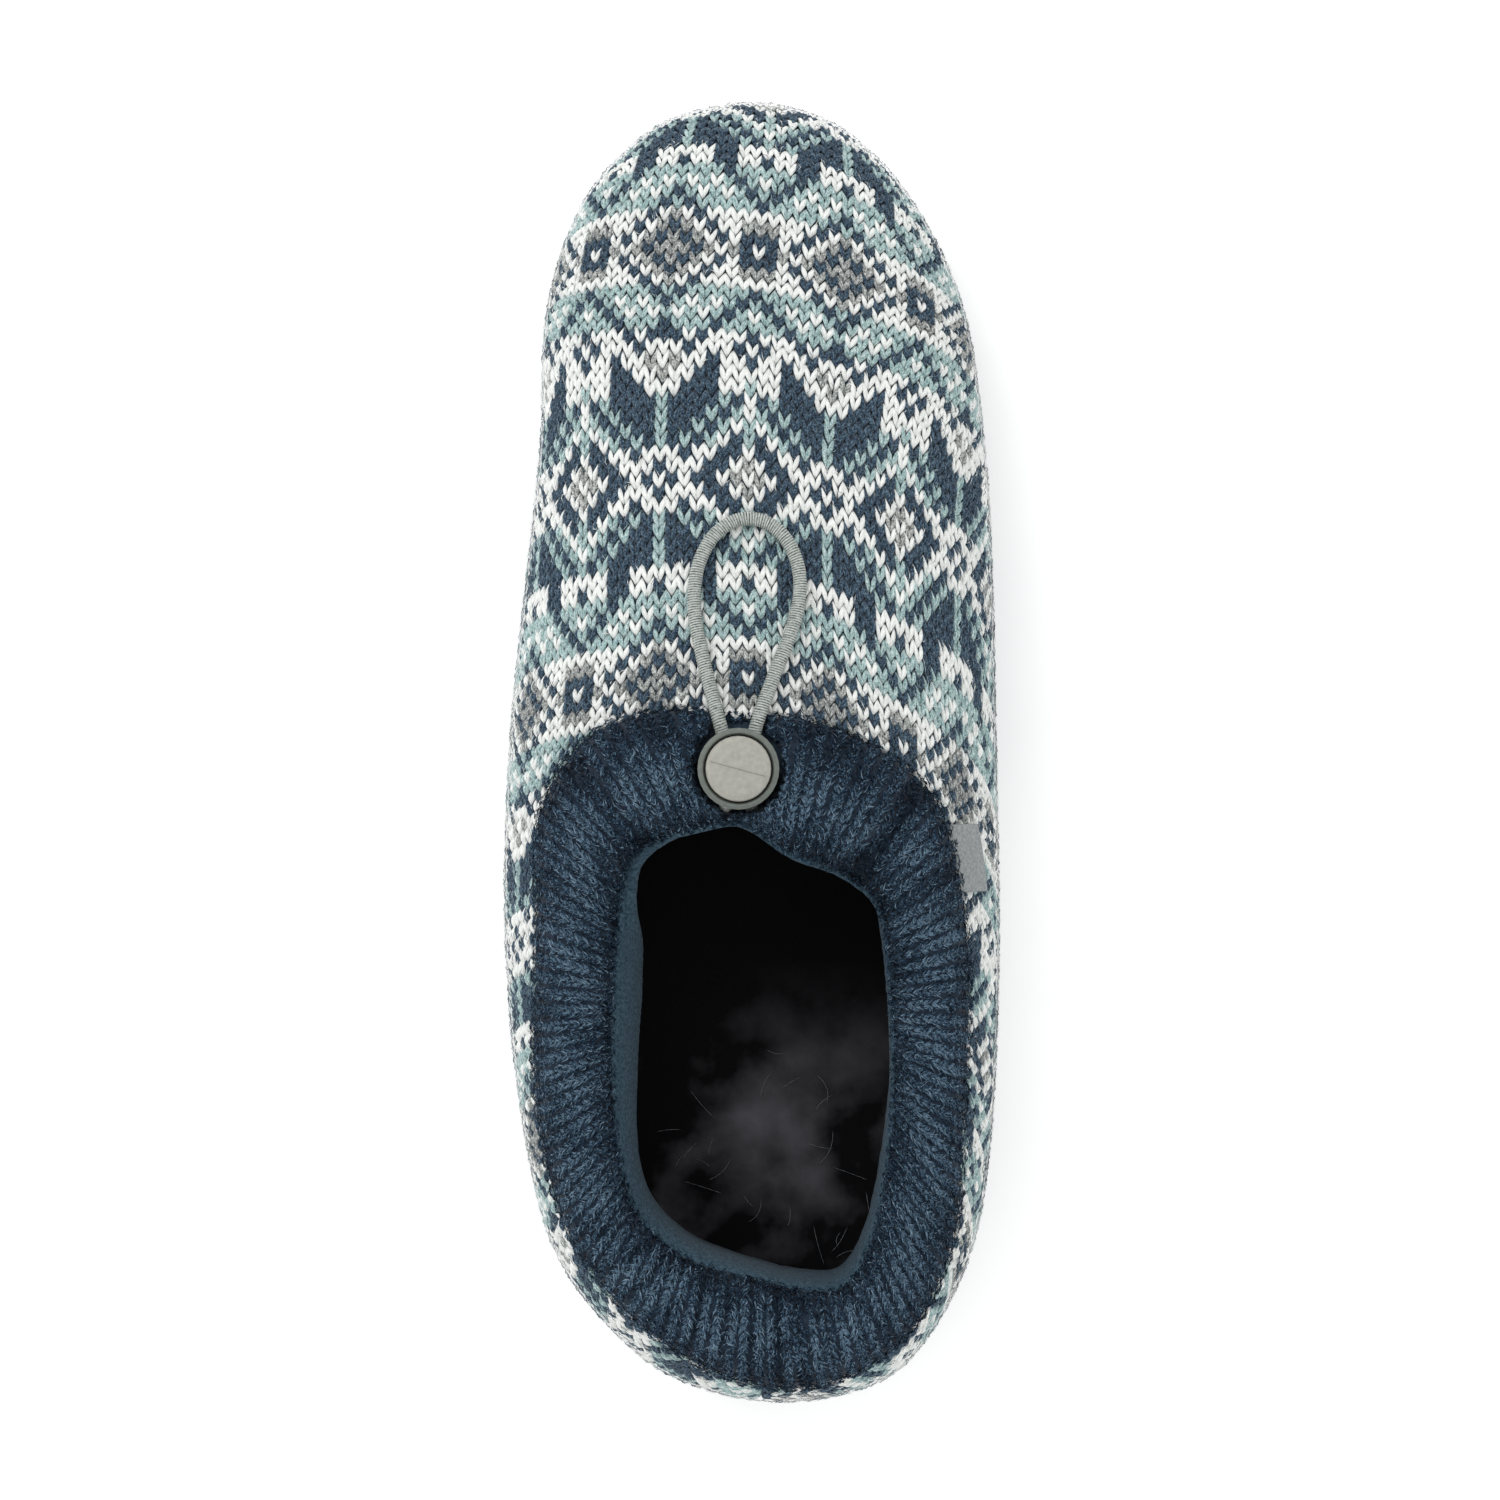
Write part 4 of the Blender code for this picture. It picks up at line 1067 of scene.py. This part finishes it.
# Knitted upper
def keptStitches():
    c, r = np.meshgrid(np.arange(-40, 56), np.arange(-56, 96), indexing="ij")
    c, r = c.ravel().astype(float), r.ravel().astype(float)
    u, v = clothPlace(c, r)
    points = onLast(u, v)
    centre = np.array(last["centre"])
    away = points[:, :2] - centre
    seam = radiusAbout(seamCurve, centre, np.arctan2(away[:, 0], away[:, 1]))
    keep = np.hypot(*away.T) > seam - 0.0012
    keep &= points[:, 2] > soleTop(points[:, 1]) + 0.0011
    back = np.where(u > 0, tables["heelRightRun"], tables["heelLeftRun"])
    keep &= v > tables["heelV"] - back + 0.0008
    return c[keep], r[keep]


knitFuzz = {
    "perStitch": 3, "middle": 0.0, "valley": 0.0,
    "turn": 18, "spread": 26,       # degrees off the wale
    "length": (0.0012, 0.0030), "bend": 0.12,
    "base": 0.00045, "lift": (0.0002, 0.0005),
    "radius": (0.00005, 0.00009), "stations": 3,
}


def chartLetters(c, r):
    k = c.astype(int) % 14
    k = np.where(k > 7, 14 - k, k)
    letters = np.array([list(row) for row in chart])
    return letters[r.astype(int) % len(chart), k]


def buildKnit():
    c, r = keptStitches()
    letters = chartLetters(c, r)
    names = {"N": "knit_navy", "W": "knit_ivory", "T": "knit_teal", "G": "knit_grey"}
    for key, name in names.items():
        pick = letters == key
        atC, atR = c[pick], r[pick]
        mesh = stitchMesh(name, knitAt, atC, atR, knit, knit["fill"][key])
        addPiece(name, mesh, yarns[key])
        print("stitches", name, len(atC))
        fibres = knitFuzz["perStitch"]
        atC = np.repeat(atC, fibres) + rng.uniform(-0.48, 0.48, len(atC) * fibres)
        atR = np.repeat(atR, fibres) + rng.uniform(-0.6, 0.6, len(atR) * fibres)
        fuzz = looseFibres(
            name + "_fuzz", knitAt, atC, atR, knitFuzz, (knit["columnPitch"], knit["rowPitch"])
        )
        addPiece(name + "_fuzz", fuzz, yarns[key])


buildKnit()
print("stage: knit")

shell = {
    "under": 0.55,  # where its top edge lies beneath the collar, from mouth to seam
    "rows": 32,
    "sunk": 0.0007,
    "thickness": 0.0032,
}


def buildShell(outerMaterial, innerMaterial):
    # the felted wall behind the stitches, from the sole edge to under the collar
    centre = np.array(last["centre"])
    angles = np.radians(np.arange(0, 360, 3.0))
    edge = radiusAbout(outline, centre, angles)
    seam = radiusAbout(seamCurve, centre, angles)
    mouth = radiusAbout(mouthCurve, centre, angles)
    inner = mix(mouth, seam, shell["under"])
    rings = []
    for k, angle in enumerate(angles):
        way = heading(angle)
        end = centre + way * edge[k]
        line, _ = lineOver(centre + way * inner[k], end, -way)
        line = line[line[:, 2] > soleTop(line[:, 1]) + 0.0002]
        rings.append(resample(line, shell["rows"])[0])
    rings = np.array(rings)
    faces = gridFaces(len(angles), shell["rows"], wrapRows=True)[:, ::-1]
    mesh = makeMesh("upper_shell", rings.reshape(-1, 3), faces)
    made = addPiece("upper_shell", mesh, [outerMaterial, innerMaterial])
    inset = made.modifiers.new("sink", "DISPLACE")
    inset.strength = -shell["sunk"]
    inset.mid_level = 0.0
    wall = made.modifiers.new("wall", "SOLIDIFY")
    wall.thickness = shell["thickness"]
    wall.offset = -1
    wall.material_offset = 1
    wall.material_offset_rim = 0
    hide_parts("upper")


def plainNoise(
    name, dark, light, scale, roughness, sheen=0.0, bump=0.4, distance=0.0003, specular=0.3,
    detail=4.0, window=(0.3, 0.7), paintedShadeAlongY=None,
):
    made, tree, shader = newMaterial(name, roughness, sheen, specular)
    place = addNode(tree, "ShaderNodeTexCoord")
    noise = addNode(tree, "ShaderNodeTexNoise")
    noise.inputs["Scale"].default_value = scale
    noise.inputs["Detail"].default_value = detail
    tree.links.new(place.outputs["Object"], noise.inputs["Vector"])
    blend = addNode(tree, "ShaderNodeMix", data_type="RGBA")
    blend.inputs["A"].default_value = dark
    blend.inputs["B"].default_value = light
    spread = addNode(tree, "ShaderNodeMapRange")
    spread.inputs["From Min"].default_value = window[0]
    spread.inputs["From Max"].default_value = window[1]
    tree.links.new(noise.outputs["Fac"], spread.inputs["Value"])
    factor = spread.outputs["Result"]
    # painted shade: the surface turns to the dark colour between two y values, gone at the first
    # and full at the second
    if paintedShadeAlongY:
        apart = addNode(tree, "ShaderNodeSeparateXYZ")
        tree.links.new(place.outputs["Object"], apart.inputs[0])
        shade = addNode(tree, "ShaderNodeMapRange")
        shade.inputs["From Min"].default_value, shade.inputs["From Max"].default_value = paintedShadeAlongY
        tree.links.new(apart.outputs["Y"], shade.inputs["Value"])
        product = addNode(tree, "ShaderNodeMath", operation="MULTIPLY")
        tree.links.new(factor, product.inputs[0])
        tree.links.new(shade.outputs["Result"], product.inputs[1])
        factor = product.outputs[0]
    tree.links.new(factor, blend.inputs["Factor"])
    tree.links.new(blend.outputs["Result"], shader.inputs["Base Color"])
    bumpFrom(tree, shader, noise.outputs["Fac"], bump, distance)
    return made


feltMaterial = plainNoise("feltedBack", colour(14, 26, 40), colour(36, 52, 68), 900, 1.0, 0.1)
backingMaterial = plainNoise("floatsBehind", colour(30, 44, 58), colour(62, 78, 92), 900, 1.0, 0.0)
plushMaterial = plainNoise("plushLining", colour(30, 52, 66), colour(78, 104, 120), 1700, 1.0, 0.05)
# insole plush: nearly black, with pale patches painted as the plush's sheen, and painted shade that
# turns it all dark towards the toe, under the vamp
insolePaintedSheenAndShade = plainNoise(
    "insolePaintedSheenAndShade", colour(2, 2, 4), colour(98, 96, 102), 42, 1.0, 0.0, detail=9.0,
    window=(0.50, 0.78), paintedShadeAlongY=(-0.045, -0.078),
)
buildShell(backingMaterial, plushMaterial)
print("stage: shell")


# Collar pieces
lining = {
    "rows": 28,
    "pile": 0.0008,
    "footBack": 0.0022,     # how far the foot of the wall stands behind its lean
    "opens": (0.75, 0.45),  # angle from the toe at which the wall starts, and until it is full
}
liningWidths = (  # clockwise degrees from the toe, how far the lining leans in, millimetres
    (-180, 0.4), (-165, 1.4), (-150, 2.6), (-120, 4.4), (-90, 4.8), (-60, 4.6), (-40, 2.4),
    (-25, 0.0), (40, 0.0), (70, -0.8), (120, -0.8), (145, 0.3), (165, 0.2), (180, 0.4),
)


def mouthRow(c):
    # the row at which the roll turns under at the mouth
    c = np.atleast_1d(np.asarray(c, float))
    rows = np.arange(0.0, 12.0, 0.1)
    grid = np.repeat(c[:, None], len(rows), axis=1)
    points = collarAt(grid.ravel(), np.tile(rows, len(c))).reshape(len(c), len(rows), 3)
    away = points[..., :2] - np.array(last["centre"])
    angle = np.arctan2(away[:, 0, 0], away[:, 0, 1])
    wanted = radiusAbout(mouthCurve, last["centre"], angle) + 0.0003
    inside = np.hypot(away[..., 0], away[..., 1]) < wanted[:, None]
    first = np.where(inside.any(axis=1), inside.argmax(axis=1), len(rows) - 1)
    return rows[first]


def collarPaintedLightTone(c, r):
    # painted highlight on the crest and painted shade between the wales, in the creases and at the
    # edges, with random patches of tone
    gap = np.abs(c % 1 - 0.5) * 2
    points = collarAt(c, r)
    sunk = creaseDepth(points[:, 0], points[:, 1]) / mm
    crest = np.exp(-(((r + 0.3) / 4.6) ** 2))
    patch = 0.06 * np.sin(c * 0.83 + 1.4 * np.sin(r * 0.6)) + 0.05 * np.sin(c * 2.3 + r * 0.9)
    return 0.36 * crest - 0.17 - 0.34 * gap**3 - 0.10 * sunk + patch


def buildCollar():
    count = roll["count"]
    stations = np.arange(0, count, 0.5)
    rows = np.linspace(*collar["padRows"])
    c, r = np.meshgrid(stations, rows, indexing="ij")
    points, normals = withNormals(collarAt, c.ravel(), r.ravel(), 0.5)
    points = points - normals * collar["padSunk"]
    faces = gridFaces(len(stations), len(rows), wrapRows=True)[:, ::-1]
    mesh = makeMesh("collar_pad", points, faces)
    pad = addPiece("collar_pad", mesh, feltMaterial)
    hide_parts("collar")
    lengths = roll["lengths"][np.arange(count) * collar["fineness"]]
    keptC, keptR = [], []
    for k in range(count):
        for row in range(*collar["stitchRows"]):
            arc = row * collar["rowPitch"]
            if lengths[k, 0] + 0.001 < arc:
                keptC.append(k + 0.5)
                keptR.append(row)
    keptC, keptR = np.array(keptC, float), np.array(keptR, float)
    middle = collarAt(keptC, keptR)
    away = np.hypot(middle[:, 0] - lock["x"], middle[:, 1] - lock["y"])
    keep = (away > collar["clearOfLock"]) & (keptR < mouthRow(keptC) + 1.6)
    mesh = stitchMesh(
        "collar_knit", collarAt, keptC[keep], keptR[keep], collar, paintedLightTone=collarPaintedLightTone,
    )
    print("collar stitches", int(keep.sum()))
    addPiece("collar_knit", mesh, collarYarn)
    atC = rng.uniform(0, count, collarFuzz["count"])
    atR = rng.uniform(*collarFuzz["rows"], collarFuzz["count"])
    middle = collarAt(atC, atR)
    away = np.hypot(middle[:, 0] - lock["x"], middle[:, 1] - lock["y"])
    low = roll["lengths"][atC.astype(int) * collar["fineness"], 0] + 0.0016
    strands = (np.abs(middle[:, 0] - lock["x"]) < lock["trough"]) & (middle[:, 1] > lock["y"])
    keep = (away > collarFuzz["clearOfLock"]) & (atR < mouthRow(atC) + 1.2)
    keep &= (atR * collar["rowPitch"] > low) & ~strands
    fuzz = looseFibres(
        "collar_fuzz", collarAt, atC[keep], atR[keep], collarFuzz,
        (collar["columnPitch"], collar["rowPitch"]), paintedLightTone=collarPaintedLightTone,
    )
    addPiece("collar_fuzz", fuzz, collarHair)


buildCollar()


def buildLining():
    # plush wall from under the knit's lip: it leans into the mouth by its width, then drops
    centre = np.array(last["centre"])
    angles = np.radians(np.arange(0, 360, 2.0))
    mouth = radiusAbout(mouthCurve, centre, angles)
    width = np.interp(np.degrees(angles + math.pi) % 360 - 180, *np.array(liningWidths).T) * mm
    lip = rollValue("mouthZ", angles) * mm
    floor = last["insoleThickness"] + 0.0005
    starts, full = lining["opens"]
    rings = []
    for k, angle in enumerate(angles):
        way = heading(angle)
        w = width[k]
        deep = float(smooth((abs(math.remainder(angle, math.tau)) - starts) / full))
        q = mix(0.3, 1.0, deep)
        back = mouth[k] - w + lining["footBack"]
        foot = centre + way * back
        low = (back, float(soleTop(foot[1])) + floor)
        turned = (mouth[k] + 0.0060, lip[k] - 0.0055)
        knots = [
            (mouth[k] + 0.0030, lip[k] - 0.0015), (mouth[k] + 0.0002, lip[k] - 0.0030),
            (mouth[k] - 0.45 * w, lip[k] - 0.0065 * q), (mouth[k] - 0.85 * w, lip[k] - 0.0120 * q),
            (mouth[k] - w + 0.002 * (1 - deep), lip[k] - 0.0170 * q),
            (mix(turned[0], low[0], deep), mix(turned[1], low[1], deep)),
        ]
        line, _ = resample(np.array([(a, b, 0.0) for a, b in knots]), lining["rows"])
        for _ in range(4):
            line[1:-1] = (line[:-2] + 2 * line[1:-1] + line[2:]) / 4
        rings.append(np.column_stack([centre + way * line[:, :1], line[:, 1]]))
    points = np.array(rings).reshape(-1, 3)
    points += rng.normal(0, 0.00007, points.shape)
    faces = gridFaces(len(angles), lining["rows"], wrapRows=True)[:, ::-1]
    mesh = makeMesh("lining_wall", points, faces)
    made = addPiece("lining_wall", mesh, plushMaterial)
    wall = made.modifiers.new("pile", "SOLIDIFY")
    wall.thickness = lining["pile"]
    wall.offset = -1


buildLining()
print("stage: collar")


# Insole
insole = {"rings": 44, "lift": 0.0003, "rimDrop": 0.0012, "grain": 0.00012}


def buildInsole():
    centre = np.array(last["centre"])
    angles = np.radians(np.arange(0, 360, 2.0))
    edge = radiusAbout(outline, centre, angles) - last["insoleInset"]
    shares = np.linspace(0.0, 1.0, insole["rings"])
    points = []
    for k, angle in enumerate(angles):
        way = heading(angle)
        plan = centre + way * (edge[k] * np.maximum(shares, 0.002))[:, None]
        top = soleTop(plan[:, 1]) + insole["lift"] + last["insoleThickness"]
        drop = insole["rimDrop"] * np.clip((shares - 0.97) / 0.03, 0, 1) ** 2
        ring = np.column_stack([plan, top - drop])
        lower = np.array([[*plan[-1], soleTop(plan[-1, 1]) + insole["lift"]]])
        points.append(np.vstack([ring, lower]))
    points = np.array(points)
    grain = rng.normal(0, insole["grain"], points.shape[:2]) * smooth(np.append(shares, 1) * 4)
    points[:, :-1, 2] += grain[:, :-1] - 0.0001
    faces = gridFaces(len(angles), insole["rings"] + 1, wrapRows=True)
    mesh = makeMesh("insole_plush", points.reshape(-1, 3), faces)
    made = addPiece("insole_plush", mesh, insolePaintedSheenAndShade)
    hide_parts("insole")


buildInsole()
strayHairs = {"length": (0.004, 0.010), "radius": 0.000038, "lift": 0.0012}
strayPlaces = (  # x and y of each tuft and how many hairs it has, millimetres
    (-11, -90, 7), (10, -68, 5), (22, -104, 6), (-16, -78, 2), (4, -98, 3), (16, -88, 3),
)


def buildHairs():
    # pale hairs that lie loose on the plush, as short bent curves
    spines = []
    for x, y, count in strayPlaces:
        for _ in range(count):
            middle = np.array([x, y]) * mm + rng.normal(0, 0.004, 2)
            turn, bend = rng.uniform(0, math.pi), rng.normal(0, 0.5)
            length = rng.uniform(*strayHairs["length"])
            line = []
            for share in np.linspace(-0.5, 0.5, 8):
                way = np.array([math.cos(turn + bend * share), math.sin(turn + bend * share)])
                plan = middle + way * length * share
                line.append((*plan, (1 - 4 * share**2) * strayHairs["lift"]))
            spines.append(line)
    spines = np.array(spines)
    inside = np.hypot(*(spines[..., :2] - np.array(last["centre"])).transpose(2, 0, 1))
    turns = np.arctan2(spines[..., 0] - last["centre"][0], spines[..., 1] - last["centre"][1])
    far = inside > radiusAbout(outline, last["centre"], turns) - 0.014
    spines = spines[~far.any(axis=1)]
    spines[..., 2] += soleTop(spines[..., 1]) + last["insoleThickness"] + 0.0002
    radius = np.full(len(spines), strayHairs["radius"])
    mesh = fibreMesh("stray_hairs", spines, radius, rng.random(len(spines)) * 100)
    addPiece("stray_hairs", mesh, hairMaterial)


hairMaterial = plainNoise("paleHair", colour(120, 126, 132), colour(180, 186, 190), 900, 0.8)
buildHairs()
print("stage: insole")


# Tab
tab = {
    "y": -0.0222, "width": 0.0138, "length": 0.0098, "thickness": 0.0008,
    "lift": 0.0004, "rows": 46, "columns": 36,
}


def buildTab(material):
    rows, columns = tab["rows"], tab["columns"]
    ys = tab["y"] + tab["width"] * (np.arange(rows) / (rows - 1) - 0.5)
    outer, under = [], []
    for y in ys:
        start = widthAt(seamCurve, y)[1] - 0.0022
        edge = widthAt(outline, y)[1] - 0.0001
        x = mix(start, edge, 1 - (1 - np.linspace(0, 1, 60)) ** 2)
        line = np.column_stack([x, np.full(60, y), domeHeight(x, np.full(60, y))])
        arcs = runAlong(line)
        marks = np.linspace(0, tab["length"] + 0.002, columns)
        face = np.stack([np.interp(marks, arcs, line[:, k]) for k in range(3)], axis=1)
        ahead = np.gradient(face, axis=0)
        outward = np.column_stack([-ahead[:, 2], np.zeros(columns), ahead[:, 0]])
        outward /= np.linalg.norm(outward, axis=1)[:, None]
        under.append(face + outward * tab["lift"])
        outer.append(face + outward * (tab["lift"] + tab["thickness"]))
    outer, under = np.array(outer), np.array(under)
    points = np.vstack([outer.reshape(-1, 3), under.reshape(-1, 3)])
    top = gridFaces(rows, columns)
    low = gridFaces(rows, columns)[:, ::-1] + rows * columns
    rim = []
    border = [i * columns for i in range(rows)]
    border += [(rows - 1) * columns + j for j in range(1, columns)]
    border += [i * columns + columns - 1 for i in range(rows - 2, -1, -1)]
    border += [j for j in range(columns - 2, 0, -1)]
    size = rows * columns
    for a, b in zip(border, border[1:] + border[:1]):
        rim.append((a, b, b + size, a + size))
    mesh = makeMesh("tab_ribbon", points, np.vstack([top, low, np.array(rim)]))
    made = addPiece("tab_ribbon", mesh, material)
    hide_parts("seam_tab")


tabMaterial = plainNoise("tabRibbon", colour(120, 126, 128), colour(154, 158, 157), 1600, 0.85)
buildTab(tabMaterial)


# Carried-over nodes
rubberMaterial = plainNoise("soleRubber", colour(22, 24, 30), colour(40, 42, 50), 700, 0.75)
ringMaterial = plainNoise(
    "lockRing", colour(98, 104, 99), colour(112, 118, 112), 900, 0.5, 0.0, 0.15, 0.0001
)
buttonMaterial = plainNoise(
    "lockButton", colour(154, 153, 146), colour(170, 169, 160), 900, 0.45, 0.0, 0.12, 0.0001
)
for node, material in (
    ("outsole", rubberMaterial),
    ("cord_lock_barrel", ringMaterial),
    ("cord_lock_button", buttonMaterial),
):
    for place in bpy.data.objects[node].material_slots:
        place.material = material


partingLine = {"start": (-5.8, 1.5), "end": (5.6, -1.6), "radius": 0.00013, "top": 0.0140}


def buildPartingLine():
    # faint moulding line over the button's face
    line = partingLine
    share = np.linspace(0, 1, 24)[:, None]
    plan = mix(np.array(line["start"]), np.array(line["end"]), share) * mm
    away = np.hypot(*plan.T) / mm
    height = line["top"] - np.interp(away, (0, 3.6, 5.5, 6.3), (0, 0.1, 0.4, 0.9)) * mm
    height = height + lock["floor"]
    spine = np.column_stack([plan[:, 0] + lock["x"], plan[:, 1] + lock["y"], height])
    mesh = fibreMesh("parting_line", spine[None], np.array([line["radius"]]), np.array([0.0]))
    material = plainNoise("partingLine", colour(134, 134, 127), colour(148, 147, 140), 900, 0.5)
    addPiece("parting_line", mesh, material, body="button")


buildPartingLine()
print("stage: materials on nodes")


# Studio
studio = {
    "floor": 12.0, "floorGlow": 0.28, "world": 0.85, "aim": (0, 0, 0.03),
    "lamps": (  # name, place, size and power
        ("keyLight", (-0.7, 0.8, 1.2), 0.8, 7.2),
        ("fillLight", (0.9, -0.3, 1.1), 1.0, 1.5),
    ),
}


def buildStudio():
    corners = np.array([(-1, -1, 0), (1, -1, 0), (1, 1, 0), (-1, 1, 0)]) * studio["floor"]
    mesh = makeMesh("floor", corners, [(0, 1, 2, 3)])
    floorMaterial, tree, shader = newMaterial("paleFloor", 0.9, 0.0, 0.1)
    shader.inputs["Base Color"].default_value = (0.97, 0.97, 0.97, 1)
    shader.inputs["Emission Color"].default_value = (1, 1, 1, 1)
    shader.inputs["Emission Strength"].default_value = studio["floorGlow"]
    floor = bpy.data.objects.new("floor", mesh)
    mesh.materials.append(floorMaterial)
    bpy.context.collection.objects.link(floor)
    world = bpy.data.worlds.new("studio")
    world.use_nodes = True
    world.node_tree.nodes["Background"].inputs["Color"].default_value = (1, 1, 1, 1)
    world.node_tree.nodes["Background"].inputs["Strength"].default_value = studio["world"]
    bpy.context.scene.world = world
    for name, place, size, power in studio["lamps"]:
        data = bpy.data.lights.new(name, "AREA")
        data.shape = "SQUARE"
        data.size = size
        data.energy = power
        lamp = bpy.data.objects.new(name, data)
        lamp.location = place
        way = Vector(studio["aim"]) - Vector(place)
        lamp.rotation_euler = way.to_track_quat("-Z", "Y").to_euler()
        bpy.context.collection.objects.link(lamp)


buildStudio()
bpy.context.scene.view_settings.view_transform = "Standard"
print("stage: studio")
